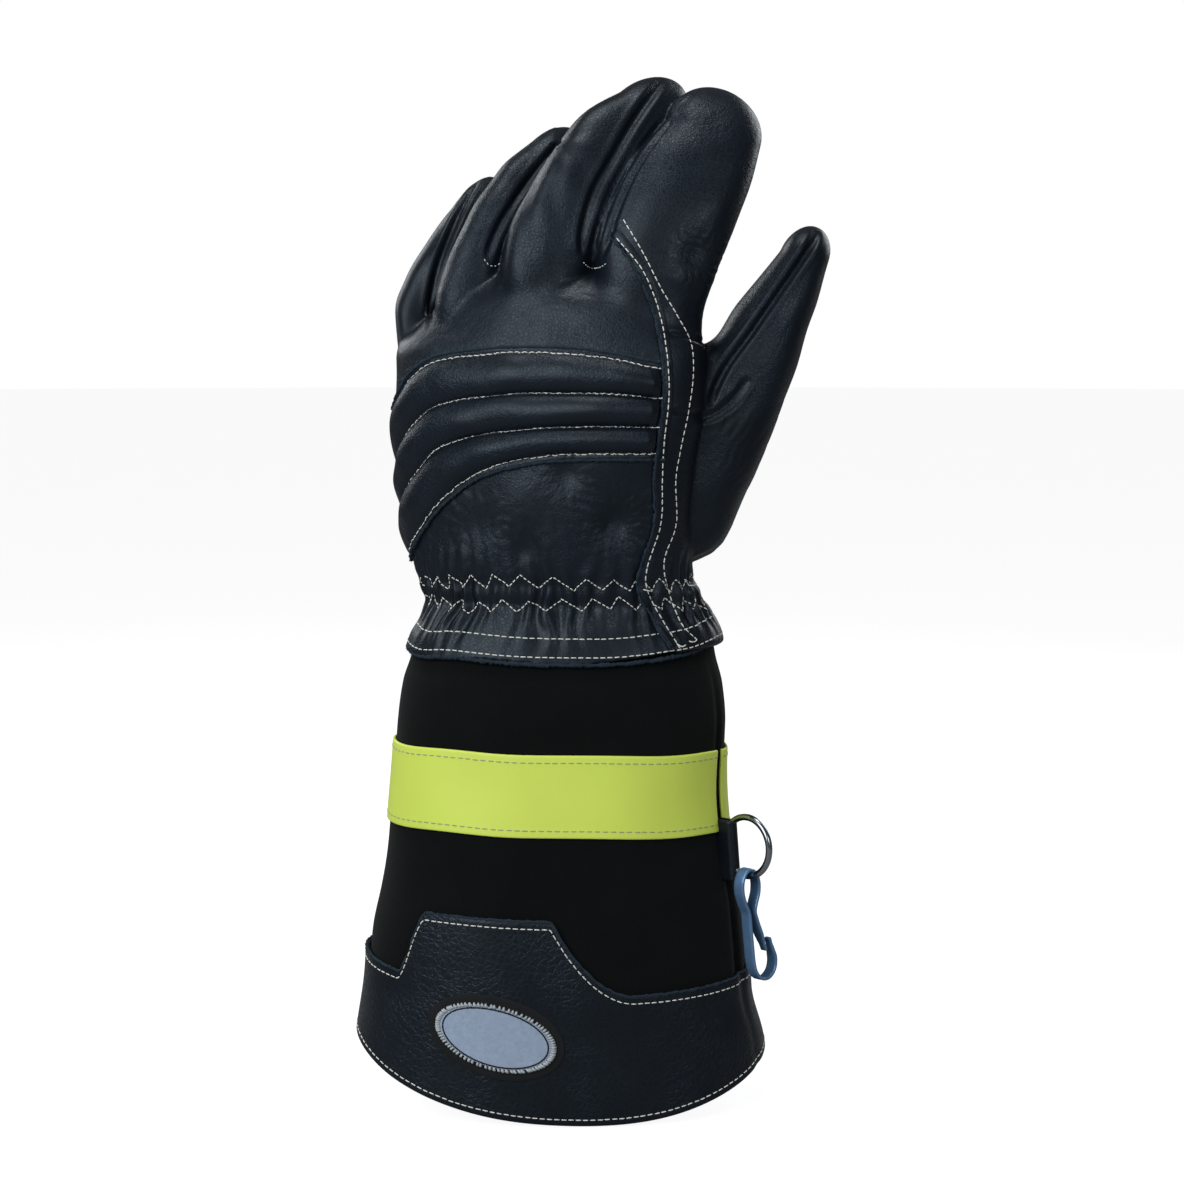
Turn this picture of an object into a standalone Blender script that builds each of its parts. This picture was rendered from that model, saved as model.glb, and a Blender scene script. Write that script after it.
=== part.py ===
"""A left-hand firefighter glove with a long cuff, in metres.

+Z runs along the hand to the fingertips, +X points to the thumb, and the back of the hand faces -Y.
The origin is the middle of the wrist. Run with blender --background --python part.py.
"""

import math

import bmesh
import bpy
from mathutils import Vector

# Driving sizes
HAND_LENGTH = 0.200  # middle of the wrist to the middle fingertip
HAND_WIDTH = 0.120  # across the four knuckles
HAND_DEPTH = 0.050  # back of the hand to the palm
GAUNTLET_LENGTH = 0.190  # middle of the wrist to the lowest point of the hem
CUFF_WIDTH = 0.157  # across the cuff at its hem
CUFF_DEPTH = 0.084  # front to back of the cuff at its hem
LEATHER = 0.0020  # glove leather
SUEDE = 0.0020  # cuff suede
GAP = 0.0005  # between sewn pieces
SKIRT_DROP = 0.021  # the wrist to the leather's own hem, which covers the top of the cuff
CUFF_TOP_DROP = 0.005  # the wrist to the top of the suede, under the leather
HEM_DIP = 0.024  # how much lower the hem is in front than at its sides
HEM_DIP_PALM = 0.014  # the same on the palm side
TAPE_DROP = 0.0545  # the wrist to the tape's upper edge
TAPE_HEIGHT = 0.0310
TAPE_THICKNESS = 0.0008
SEAM_ANGLE = math.radians(70)  # the cuff's side seam, from the front towards the thumb
SEAM_SLOT = 0.0022  # between the two ends of the tape at the seam
TRIM_THICKNESS = 0.0016
TRIM_HEIGHT = 0.030  # trim at the sides of the cuff
TRIM_DIP = 0.008  # how much lower the trim's upper edge is in front than at its sides
TAB_RISE = 0.0218  # the tab above the trim's sides
TAB_LEFT = -0.0605  # foot of the tab's left slope
TAB_RIGHT = 0.0225  # foot of the tab's right slope
TAB_SLOPE_LEFT = 0.0115
TAB_SLOPE_RIGHT = 0.0225
BADGE_WIDTH = 0.054
BADGE_HEIGHT = 0.032
BADGE_RIM = 0.0026  # width of the overlocked border
BADGE_THICKNESS = 0.0010
BADGE_RIM_RISE = 0.0008
BADGE_X = -0.023
BADGE_DROP = 0.159  # the wrist to the middle of the badge
BADGE_TURN = math.radians(-10)
GUARD_THICKNESS = 0.0012  # the guard's leather in its stitched grooves
GUARD_GAP = 0.0007  # under the guard, which is stitched down along its grooves
RIB_RISE = 0.0042  # how far each padded rib stands above its grooves
RIBS = 3
STRAP_HEIGHT = 0.018
STRAP_THICKNESS = 0.0015
STRAP_DROP = 0.0895  # the wrist to the middle of the strap
STRAP_ANGLE = math.radians(-45)  # direction of the fold, from +X towards the front
RING_DIAMETER = 0.025  # outside
RING_WIRE = 0.0026
RING_CLEARANCE = 0.0005
HOOK_LENGTH = 0.045  # eye to the bottom of the bend
HOOK_WIDTH = 0.0048  # of the flat strip
HOOK_THICKNESS = 0.0012

# How finely the shapes are faceted
HAND_SIDES = 36
FINGER_SIDES = 12
CUFF_SIDES = 36

# Sections of the hand's core, the surface just inside the leather, from the wrist up.
# level: share of HAND_LENGTH; left, right: shares of HAND_WIDTH; back, palm: shares of HAND_DEPTH;
# turn: how much the section leans to the palm side towards the little finger.
HAND_SECTIONS = (
    # level, left, right, back, palm, turn
    (0.000, -0.392, 0.446, 0.500, 0.500, 0.04),
    (0.040, -0.412, 0.417, 0.510, 0.510, 0.08),
    (0.095, -0.442, 0.404, 0.540, 0.540, 0.13),
    (0.190, -0.467, 0.408, 0.570, 0.580, 0.19),
    (0.285, -0.481, 0.422, 0.560, 0.580, 0.23),
    (0.385, -0.494, 0.438, 0.530, 0.560, 0.25),
    (0.470, -0.490, 0.442, 0.460, 0.480, 0.25),
    (0.520, -0.408, 0.383, 0.360, 0.380, 0.25),
    (0.575, -0.325, 0.275, 0.240, 0.260, 0.25),
    (0.610, -0.190, 0.133, 0.110, 0.120, 0.25),
)
# The same below the wrist. level: share of GAUNTLET_LENGTH; left, right: shares of CUFF_WIDTH;
# back, palm: shares of CUFF_DEPTH; tilt: how much the cuff hangs lower towards the thumb.
CUFF_SECTIONS = (
    # level, left, right, back, palm, tilt
    (-1.060, -0.505, 0.527, 0.512, 0.512, 0.045),
    (-0.874, -0.478, 0.500, 0.500, 0.500, 0.045),
    (-0.770, -0.459, 0.468, 0.495, 0.495, 0.044),
    (-0.680, -0.449, 0.462, 0.488, 0.488, 0.040),
    (-0.600, -0.432, 0.452, 0.476, 0.476, 0.034),
    (-0.480, -0.410, 0.422, 0.462, 0.462, 0.028),
    (-0.370, -0.396, 0.413, 0.446, 0.446, 0.025),
    (-0.240, -0.383, 0.417, 0.429, 0.429, 0.022),
    (-0.165, -0.371, 0.408, 0.405, 0.405, 0.012),
    (-0.116, -0.354, 0.392, 0.369, 0.369, 0.000),
    (-0.074, -0.338, 0.382, 0.339, 0.339, 0.000),
    (-0.042, -0.315, 0.366, 0.315, 0.315, 0.000),
)
SQUARENESS = 2.2  # exponent of the sections, where 2 is an ellipse

# Sections of the fingers, from inside the hand to the last full one, with the tip after them.
# Each section runs from its little-finger side to its thumb side.
# side x: shares of HAND_WIDTH; side z: shares of HAND_LENGTH; middle, depth: shares of HAND_DEPTH.
FINGER_SECTIONS = {
    "little_finger": (
        # x, z, x, z, middle, depth
        (-0.495, 0.430, -0.300, 0.420, 0.28, 0.24),
        (-0.520, 0.550, -0.394, 0.524, 0.50, 0.21),
        (-0.486, 0.613, -0.356, 0.574, 0.58, 0.215),
        (-0.415, 0.690, -0.275, 0.637, 0.66, 0.23),
        (-0.342, 0.750, -0.210, 0.694, 0.82, 0.22),
    ),
    "ring_finger": (
        (-0.383, 0.430, -0.183, 0.420, 0.14, 0.26),
        (-0.380, 0.565, -0.200, 0.530, 0.15, 0.25),
        (-0.314, 0.685, -0.160, 0.637, 0.25, 0.25),
        (-0.246, 0.765, -0.104, 0.712, 0.38, 0.25),
        (-0.162, 0.835, -0.030, 0.770, 0.52, 0.24),
        (-0.079, 0.878, 0.040, 0.815, 0.66, 0.22),
    ),
    "middle_finger": (
        (-0.192, 0.440, 0.092, 0.430, -0.02, 0.30),
        (-0.179, 0.590, 0.086, 0.550, -0.04, 0.30),
        (-0.142, 0.690, 0.106, 0.640, -0.03, 0.29),
        (-0.071, 0.775, 0.152, 0.720, 0.02, 0.28),
        (0.017, 0.858, 0.210, 0.790, 0.14, 0.27),
        (0.104, 0.925, 0.272, 0.850, 0.28, 0.25),
        (0.200, 0.970, 0.348, 0.902, 0.42, 0.21),
    ),
    "index_finger": (
        (0.083, 0.460, 0.450, 0.430, -0.14, 0.34),
        (0.121, 0.560, 0.454, 0.530, -0.14, 0.35),
        (0.154, 0.670, 0.504, 0.625, -0.13, 0.34),
        (0.206, 0.760, 0.571, 0.720, -0.08, 0.33),
        (0.276, 0.840, 0.625, 0.802, 0.02, 0.32),
        (0.362, 0.910, 0.658, 0.875, 0.12, 0.28),
    ),
    "thumb": (
        (0.333, 0.450, 0.317, 0.060, 0.04, 0.40),
        (0.446, 0.478, 0.500, 0.095, 0.04, 0.40),
        (0.488, 0.488, 0.625, 0.230, 0.06, 0.38),
        (0.512, 0.500, 0.717, 0.360, 0.08, 0.36),
        (0.554, 0.542, 0.783, 0.475, 0.10, 0.34),
        (0.638, 0.608, 0.832, 0.570, 0.14, 0.30),
        (0.717, 0.665, 0.865, 0.638, 0.18, 0.24),
    ),
}
# Tips: x share of HAND_WIDTH, z share of HAND_LENGTH, depth share of HAND_DEPTH,
# and the section at which the finger parts from the hand.
FINGER_TIPS = {
    # name: (x, z, middle, parting)
    "little_finger": (-0.192, 0.810, 0.98, 1),
    "ring_finger": (0.071, 0.900, 0.80, 2),
    "middle_finger": (0.375, 0.985, 0.54, 2),
    "index_finger": (0.521, 0.985, 0.26, 2),
    "thumb": (0.829, 0.712, 0.22, 2),
}
FINGER_SQUARENESS = 2.3

# Edge of the palm leather's stitched strip on the back of the hand, from the skirt up.
STRIP_EDGE = (
    # z: share of HAND_LENGTH, x: share of HAND_WIDTH
    (-0.150, 0.410),
    (-0.095, 0.388),
    (0.000, 0.310),
    (0.075, 0.278),
    (0.190, 0.300),
    (0.290, 0.318),
    (0.385, 0.335),
    (0.515, 0.318),
    (0.630, 0.245),
    (0.690, 0.165),
    (0.800, 0.020),
)

# The knuckle guard's edges, from the strip to the little-finger side.
GUARD_EDGES = (
    # across: share of the way to the side, upper, lower: shares of HAND_LENGTH
    (0.00, 0.458, 0.275),
    (0.20, 0.478, 0.277),
    (0.40, 0.487, 0.273),
    (0.60, 0.487, 0.253),
    (0.75, 0.478, 0.220),
    (0.87, 0.460, 0.170),
    (0.96, 0.415, 0.120),
    (1.00, 0.370, 0.085),
)

# The hook's bent strip, seen along the ring's wire, from its tip round the bend and the eye to the
# end of the gate.
HOOK_PATH = (
    # across, along: shares of HOOK_LENGTH from the ring's wire
    (0.215, -0.585),
    (0.245, -0.740),
    (0.215, -0.860),
    (0.120, -0.925),
    (0.020, -0.850),
    (-0.030, -0.700),
    (-0.035, -0.450),
    (-0.035, -0.300),
    (-0.075, -0.210),
    (-0.105, -0.100),
    (-0.075, 0.010),
    (0.000, 0.055),
    (0.075, 0.010),
    (0.105, -0.100),
    (0.080, -0.200),
    (0.035, -0.275),
    (0.050, -0.340),
    (0.160, -0.690),
)

COLOURS = {
    # name: (red, green, blue, roughness, metallic)
    "leather": (0.012, 0.017, 0.027, 0.42, 0.0),
    "suede": (0.004, 0.006, 0.008, 0.95, 0.0),
    "tape": (0.62, 0.78, 0.12, 0.45, 0.0),
    "woven": (0.30, 0.37, 0.50, 0.80, 0.0),
    "steel": (0.20, 0.22, 0.25, 0.25, 1.0),
    "blued_steel": (0.08, 0.17, 0.30, 0.30, 1.0),
}


def clear_scene():
    for obj in list(bpy.data.objects):
        bpy.data.objects.remove(obj, do_unlink=True)


def material(name):
    """A Principled material with the colour, roughness and metallic value of the table."""
    made = bpy.data.materials.get(name)
    if made is None:
        made = bpy.data.materials.new(name)
        made.use_nodes = True
        shader = made.node_tree.nodes["Principled BSDF"]
        red, green, blue, roughness, metallic = COLOURS[name]
        shader.inputs["Base Color"].default_value = (red, green, blue, 1)
        shader.inputs["Roughness"].default_value = roughness
        shader.inputs["Metallic"].default_value = metallic
    return made


def smooth_value(rows, at):
    """The columns after the first, read at a value of the first through a smooth curve."""
    rows = sorted(rows)
    at = min(max(at, rows[0][0]), rows[-1][0])
    low = max(i for i in range(len(rows) - 1) if rows[i][0] <= at or i == 0)
    first, second = rows[low], rows[low + 1]
    span = second[0] - first[0]
    t = (at - first[0]) / span

    def slope(index, column):
        if index in (0, len(rows) - 1):
            return 0.0
        before, here, after = rows[index - 1], rows[index], rows[index + 1]
        rise = (here[column] - before[column]) / (here[0] - before[0])
        run = (after[column] - here[column]) / (after[0] - here[0])
        return 0.0 if rise * run <= 0 else 2 * rise * run / (rise + run)

    values = []
    for column in range(1, len(first)):
        start = slope(low, column) * span
        end = slope(low + 1, column) * span
        values.append(
            first[column] * (2 * t**3 - 3 * t**2 + 1)
            + start * (t**3 - 2 * t**2 + t)
            + second[column] * (3 * t**2 - 2 * t**3)
            + end * (t**3 - t**2)
        )
    return values


def body_rows():
    """Both section tables as real sizes: level, left, right, back, palm, turn, tilt."""
    rows = []
    wide, deep = CUFF_WIDTH, CUFF_DEPTH
    for share, left, right, back, palm, tilt in CUFF_SECTIONS:
        level = share * GAUNTLET_LENGTH
        rows.append((level, left * wide, right * wide, back * deep, palm * deep, 0, tilt))
    wide, deep = HAND_WIDTH, HAND_DEPTH
    for share, left, right, back, palm, turn in HAND_SECTIONS:
        level = share * HAND_LENGTH
        rows.append((level, left * wide, right * wide, back * deep, palm * deep, turn, 0))
    return rows


BODY = body_rows()


def body_point(level, angle, outward=0.0):
    """A point on the core: angle 0 is the back of the hand, and grows towards the thumb."""
    left, right, back, palm, turn, tilt = smooth_value(BODY, level)
    half = (right - left) / 2 + outward
    deep = (back if math.cos(angle) > 0 else palm) + outward
    side, front = math.sin(angle), math.cos(angle)
    power = 2 / SQUARENESS
    across = half * math.copysign(abs(side) ** power, side)
    y = -deep * math.copysign(abs(front) ** power, front) - turn * across
    return Vector(((left + right) / 2 + across, y, level - tilt * across))


def angle_at(level, x, outward=0.0):
    """The angle at which the back of the hand or the front of the cuff has this x."""
    left, right = smooth_value(BODY, level)[:2]
    half = (right - left) / 2 + outward
    share = max(-1.0, min(1.0, (x - (left + right) / 2) / half))
    return math.asin(math.copysign(abs(share) ** (SQUARENESS / 2), share))


def mesh_object(name, points, faces, colour):
    mesh = bpy.data.meshes.new(name)
    mesh.from_pydata([tuple(p) for p in points], [], faces)
    mesh.materials.append(material(colour))
    for polygon in mesh.polygons:
        polygon.use_smooth = True
    mesh.validate()
    build = bmesh.new()
    build.from_mesh(mesh)
    bmesh.ops.recalc_face_normals(build, faces=build.faces)
    build.to_mesh(mesh)
    build.free()
    obj = bpy.data.objects.new(name, mesh)
    bpy.context.scene.collection.objects.link(obj)
    return obj


def sheet(name, outer, inner, wraps, colour):
    """A wall between two grids of points, open at its rims, closed round if it wraps."""
    rows, columns = len(outer), len(outer[0])
    points = [p for row in outer for p in row] + [p for row in inner for p in row]
    shift = rows * columns

    def at(i, j, layer=0):
        return layer * shift + i * columns + j % columns

    faces = []
    last = columns if wraps else columns - 1
    for i in range(rows - 1):
        for j in range(last):
            faces.append((at(i, j), at(i, j + 1), at(i + 1, j + 1), at(i + 1, j)))
            faces.append((at(i, j, 1), at(i + 1, j, 1), at(i + 1, j + 1, 1), at(i, j + 1, 1)))
    for i in (0, rows - 1):
        for j in range(last):
            faces.append((at(i, j), at(i, j, 1), at(i, j + 1, 1), at(i, j + 1)))
    if not wraps:
        for j in (0, columns - 1):
            for i in range(rows - 1):
                faces.append((at(i, j), at(i + 1, j), at(i + 1, j, 1), at(i, j, 1)))
    return mesh_object(name, points, faces, colour)


def closed_loft(name, rings, apex=None):
    """A solid through rings of points, capped at its ends, or brought to a point at the last."""
    sides = len(rings[0])
    points = [p for ring in rings for p in ring]
    faces = [tuple(range(sides))]
    for i in range(len(rings) - 1):
        for j in range(sides):
            a, b = i * sides + j, i * sides + (j + 1) % sides
            faces.append((a, b, b + sides, a + sides))
    start = (len(rings) - 1) * sides
    if apex is None:
        faces.append(tuple(range(start, start + sides)))
    else:
        points.append(apex)
        faces += [(start + j, start + (j + 1) % sides, len(points) - 1) for j in range(sides)]
    return mesh_object(name, points, faces, "leather")


def combine(target, others, operation):
    """Boolean of a mesh with others, applied, and the others removed."""
    for other in others:
        modifier = target.modifiers.new("join", "BOOLEAN")
        modifier.operation = operation
        modifier.object = other
        modifier.solver = "EXACT"
        bpy.context.view_layer.update()
        evaluated = target.evaluated_get(bpy.context.evaluated_depsgraph_get())
        mesh = bpy.data.meshes.new_from_object(evaluated)
        target.modifiers.clear()
        target.data = mesh
    for other in others:
        bpy.data.objects.remove(other, do_unlink=True)
    return target


def finger_rows(name):
    """A finger's sections as real sizes: both side points and half the depth."""
    rows = []
    for left_x, left_z, right_x, right_z, middle, depth in FINGER_SECTIONS[name]:
        left = Vector((left_x * HAND_WIDTH, middle * HAND_DEPTH, left_z * HAND_LENGTH))
        right = Vector((right_x * HAND_WIDTH, middle * HAND_DEPTH, right_z * HAND_LENGTH))
        rows.append((left, right, depth * HAND_DEPTH))
    return rows


def finger_section(rows, at):
    """Middle, half side vector and half depth at a row number that may be a fraction."""
    table = [(i, *left, *right, depth) for i, (left, right, depth) in enumerate(rows)]
    values = smooth_value(table, at)
    left, right, depth = Vector(values[:3]), Vector(values[3:6]), values[6]
    return (left + right) / 2, (right - left) / 2, depth


def finger_ring(centre, half_side, depth, inward=0.0, share=1.0):
    """Points round one section, moved inward by a wall and shrunk to a share for the tip."""
    power = 2 / FINGER_SQUARENESS
    side = half_side * (1 - inward / half_side.length) * share
    deep = (depth - inward) * share
    ring = []
    for j in range(FINGER_SIDES):
        turn = 2 * math.pi * (j + 0.5) / FINGER_SIDES
        along = math.copysign(abs(math.cos(turn)) ** power, math.cos(turn))
        across = math.copysign(abs(math.sin(turn)) ** power, math.sin(turn))
        ring.append(centre + side * along + Vector((0, -deep * across, 0)))
    return ring


def finger_surface(name, inward=0.0, start=None):
    """Rings from the parting section to the tip, and the point that closes them."""
    rows = finger_rows(name)
    x, z, middle, parting = FINGER_TIPS[name]
    tip = Vector((x * HAND_WIDTH, middle * HAND_DEPTH, z * HAND_LENGTH))
    start = parting if start is None else start
    last = len(rows) - 1
    steps = [start + (last - start) * k / 7 for k in range(8)]
    rings = [finger_ring(*finger_section(rows, at), inward) for at in steps]
    centre, half_side, depth = finger_section(rows, last)
    reach = tip - centre
    reach = reach * (1 - inward / reach.length)
    for bend in (0.30, 0.55, 0.78):
        turn = bend * math.pi / 2
        rings.append(finger_ring(centre + reach * math.sin(turn), half_side, depth, inward, math.cos(turn)))
    return rings, centre + reach


def finger(name):
    """A hollow finger, open where it parts from the hand and closed at its tip."""
    outer, tip = finger_surface(name)
    inner, inner_tip = finger_surface(name, LEATHER)
    beyond = finger_section(finger_rows(name), FINGER_TIPS[name][3] + 0.1)[0]
    away = (beyond - sum(outer[0], Vector()) / FINGER_SIDES).normalized() * GAP
    outer[0] = [p + away for p in outer[0]]
    inner[0] = [p + away for p in inner[0]]
    sides = FINGER_SIDES
    points = [p for ring in outer for p in ring] + [tip]
    shift = len(points)
    points += [p for ring in inner for p in ring] + [inner_tip]
    faces = []
    for layer in (0, shift):
        for i in range(len(outer) - 1):
            for j in range(sides):
                a, b = layer + i * sides + j, layer + i * sides + (j + 1) % sides
                faces.append((a, b, b + sides, a + sides) if layer == 0 else (a, a + sides, b + sides, b))
        start = layer + (len(outer) - 1) * sides
        for j in range(sides):
            a, b = start + j, start + (j + 1) % sides
            faces.append((a, b, layer + shift - 1) if layer == 0 else (b, a, layer + shift - 1))
    for j in range(sides):
        faces.append((j, (j + 1) % sides, shift + (j + 1) % sides, shift + j))
    return mesh_object(name, points, faces, "leather")


def finger_root(name, inward, past=0.0):
    """The part of a finger that belongs to the hand, as a solid to join or to cut with."""
    rows = finger_rows(name)
    parting = FINGER_TIPS[name][3]
    steps = [parting * k / 3 for k in range(4)]
    rings = [finger_ring(*finger_section(rows, at), inward) for at in steps]
    if past:
        centre, half_side, depth = finger_section(rows, parting)
        along = (centre - finger_section(rows, parting - 0.1)[0]).normalized() * past
        rings.append(finger_ring(centre + along, half_side, depth, inward))
    return closed_loft(name + "_root", rings)


def hand_solid(outward, bottom):
    """The hand's core without its fingers, grown outward, as one solid."""
    levels = [bottom * (1 - k / 3) for k in range(3)] + [row[0] * HAND_LENGTH for row in HAND_SECTIONS]
    turns = [2 * math.pi * j / HAND_SIDES for j in range(HAND_SIDES)]
    rings = [[body_point(level, turn, outward) for turn in turns] for level in levels]
    middle = sum(rings[-1], Vector()) / HAND_SIDES
    return closed_loft("hand", rings, middle + Vector((0, 0, 0.01 * HAND_LENGTH + outward)))


def back_region(grow):
    """The space of the back panel: up to the strip's edge, and forward of the side seam."""
    far = HAND_WIDTH
    steps = 18
    low, high = STRIP_EDGE[0][0] * HAND_LENGTH, STRIP_EDGE[-1][0] * HAND_LENGTH
    rings = []
    for k in range(steps + 1):
        z = low + (high - low) * k / steps
        edge = strip_edge_x(z) + grow
        # Half a facet behind the widest point, so that the seam misses the corners there.
        side = body_point(min(z, HAND_SECTIONS[6][0] * HAND_LENGTH), -math.pi * (0.5 + 1 / HAND_SIDES))
        slope = side.y / (edge - side.x)
        behind = 2 * grow  # the side seam's faces twist a little between the levels
        rings.append(
            [
                Vector((-far, -far, z)),
                Vector((edge, -far, z)),
                Vector((edge, behind, z)),
                Vector((-far, slope * (edge + far) + behind, z)),
            ]
        )
    return closed_loft("back_region", rings)


def hand_panels():
    """The leather of the hand, split into its back panel and its palm panel."""
    names = list(FINGER_SECTIONS)
    bottom = -SKIRT_DROP
    outer = hand_solid(GAP + LEATHER, bottom)
    combine(outer, [finger_root(name, 0.0) for name in names], "UNION")
    inner = hand_solid(GAP, bottom - LEATHER)
    combine(inner, [finger_root(name, LEATHER, LEATHER) for name in names], "UNION")
    combine(outer, [inner], "DIFFERENCE")
    palm = outer.copy()
    palm.data = outer.data.copy()
    bpy.context.scene.collection.objects.link(palm)
    back = combine(outer, [back_region(0.0)], "INTERSECT")
    combine(palm, [back_region(GAP)], "DIFFERENCE")
    for panel, name in ((back, "back_panel"), (palm, "palm_panel")):
        panel.name = name
        panel.data.name = name


def strip_edge_x(z):
    return smooth_value(STRIP_EDGE, z / HAND_LENGTH)[0] * HAND_WIDTH


def knuckle_guard():
    """A leather patch over the knuckles with padded ribs between its stitched grooves."""
    across = 12
    per_rib = 4
    outer, inner = [], []
    base = GAP + LEATHER + GUARD_GAP
    for i in range(RIBS * per_rib + 1):
        down = i / (RIBS * per_rib)
        rise = GUARD_THICKNESS + RIB_RISE * abs(math.sin(math.pi * down * RIBS)) ** 0.7
        outer.append([])
        inner.append([])
        for j in range(across + 1):
            share = j / across
            upper, lower = smooth_value(GUARD_EDGES, share)
            level = (upper + (lower - upper) * down) * HAND_LENGTH
            right = angle_at(level, strip_edge_x(level) - GAP, base)
            left = -math.pi / 2
            angle = right + (left - right) * share
            edge = min(1.0, 4 * min(share + 0.1, 1.1 - share))
            outer[-1].append(body_point(level, angle, base + rise * edge))
            inner[-1].append(body_point(level, angle, base))
    return sheet("knuckle_guard", outer, inner, False, "leather")


def hem_level(angle):
    """The hem, rounded down in front and, less, on the palm side."""
    dip = HEM_DIP if math.cos(angle) > 0 else HEM_DIP_PALM
    return HEM_DIP - GAUNTLET_LENGTH - dip * abs(math.cos(angle)) ** 1.5


def cuff():
    """The suede gauntlet: a flared tube, open at both ends, with its top under the leather."""
    turns = [2 * math.pi * j / CUFF_SIDES for j in range(CUFF_SIDES)]
    shares = (0, 0.025, 0.05, 0.08, 0.12, 0.20, 0.31, 0.42, 0.53, 0.64, 0.76, 0.88, 1)
    outer, inner = [], []
    for share in shares:
        levels = [-CUFF_TOP_DROP + (hem_level(turn) + CUFF_TOP_DROP) * share for turn in turns]
        outer.append([body_point(level, turn) for level, turn in zip(levels, turns)])
        inner.append([body_point(level, turn, -SUEDE) for level, turn in zip(levels, turns)])
    return sheet("suede_cuff", outer, inner, True, "suede")


def tape():
    """The reflective band, all round the cuff from one side of its seam to the other."""
    half_slot = SEAM_SLOT / CUFF_DEPTH * 2
    facet = 2 * math.pi / CUFF_SIDES
    turns = [SEAM_ANGLE + half_slot - 2 * math.pi]
    turns += [SEAM_ANGLE - facet * j for j in range(CUFF_SIDES - 1, 0, -1)]
    turns.append(SEAM_ANGLE - half_slot)
    levels = [-TAPE_DROP - TAPE_HEIGHT * k / 3 for k in range(4)]
    outer = [[body_point(level, turn, GAP + TAPE_THICKNESS) for turn in turns] for level in levels]
    inner = [[body_point(level, turn, GAP) for turn in turns] for level in levels]
    return sheet("reflective_tape", outer, inner, False, "tape")


def trim_top(angle):
    """The trim's upper edge: level, with the tab's trapezoid on the front."""
    sides = HEM_DIP - GAUNTLET_LENGTH + TRIM_HEIGHT
    if math.cos(angle) <= 0:
        return sides
    x = body_point(sides, angle).x
    up = (x - TAB_LEFT) / TAB_SLOPE_LEFT
    down = (TAB_RIGHT - x) / TAB_SLOPE_RIGHT
    dip = TRIM_DIP * math.cos(angle)
    return sides - dip + (TAB_RISE + dip) * max(0.0, min(1.0, up, down))


def trim():
    """The leather round the hem, with its tab."""
    sides = HEM_DIP - GAUNTLET_LENGTH + TRIM_HEIGHT
    corners = (TAB_LEFT, TAB_LEFT + TAB_SLOPE_LEFT, TAB_RIGHT - TAB_SLOPE_RIGHT, TAB_RIGHT)
    facet = 2 * math.pi / CUFF_SIDES
    turns = [facet * (j - CUFF_SIDES // 2) for j in range(CUFF_SIDES)]
    for corner in [angle_at(sides, x) for x in corners]:
        if all(abs(turn - corner) > facet / 10 for turn in turns):
            turns.append(corner)
    turns.sort()
    outer, inner = [], []
    for share in (0, 0.3, 0.65, 1):
        levels = [trim_top(turn) + (hem_level(turn) - trim_top(turn)) * share for turn in turns]
        outer.append([body_point(level, turn, GAP + TRIM_THICKNESS) for level, turn in zip(levels, turns)])
        inner.append([body_point(level, turn, GAP) for level, turn in zip(levels, turns)])
    return sheet("cuff_trim", outer, inner, True, "leather")


def badge():
    """The woven oval with its raised border, lying on the trim."""
    base = 2 * GAP + TRIM_THICKNESS
    rim = 1 - 2 * BADGE_RIM / BADGE_HEIGHT
    profile = ((0.45, 0.0), (rim - 0.05, 0.0), (rim, 1.0), (0.96, 1.0), (1.0, 0.3))
    sides = 20

    def place(share, turn, rise):
        u = share * BADGE_WIDTH / 2 * math.cos(turn)
        v = share * BADGE_HEIGHT / 2 * math.sin(turn)
        x = BADGE_X + u * math.cos(BADGE_TURN) - v * math.sin(BADGE_TURN)
        level = u * math.sin(BADGE_TURN) + v * math.cos(BADGE_TURN) - BADGE_DROP
        return body_point(level, angle_at(level, x, base), base + rise)

    def layer(top):
        rows = []
        for share, lift in profile:
            rise = BADGE_THICKNESS + BADGE_RIM_RISE * lift if top else 0.0
            rows.append([place(share, 2 * math.pi * j / sides, rise) for j in range(sides)])
        return rows

    top, bottom = layer(True), layer(False)
    points = [place(0, 0, BADGE_THICKNESS)] + [p for row in top for p in row]
    shift = len(points)
    points += [place(0, 0, 0)] + [p for row in bottom for p in row]
    faces = []
    for low in (0, shift):
        for j in range(sides):
            faces.append((low, low + 1 + j, low + 1 + (j + 1) % sides))
            for i in range(len(profile) - 1):
                a, b = low + 1 + i * sides + j, low + 1 + i * sides + (j + 1) % sides
                faces.append((a, b, b + sides, a + sides))
    last = 1 + (len(profile) - 1) * sides
    for j in range(sides):
        k = (j + 1) % sides
        faces.append((last + j, last + k, shift + last + k, shift + last + j))
    return mesh_object("badge", points, faces, "woven")


def fold_direction():
    return Vector((math.cos(STRAP_ANGLE), math.sin(STRAP_ANGLE), 0))


def distance_to_cuff(start, direction, clear):
    """How far back along the direction a point outside the cuff is from its surface."""
    reach, step = 0.0, 0.0001
    for _ in range(400):
        point = start - direction * reach
        left, right, back, palm, _turn, tilt = smooth_value(BODY, point.z)
        half = (right - left) / 2 + clear
        across = (point.x - (left + right) / 2) / half
        deep = point.y / ((back if point.y < 0 else palm) + clear)
        if abs(across) ** SQUARENESS + abs(deep) ** SQUARENESS < 1:
            break
        reach += step
    return reach - step


def ring_centre():
    """The ring hangs in the fold with its wire against the cuff's seam."""
    root = body_point(-STRAP_DROP, SEAM_ANGLE, GAP)
    return root + fold_direction() * (2 * RING_CLEARANCE + RING_DIAMETER / 2)


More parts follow.
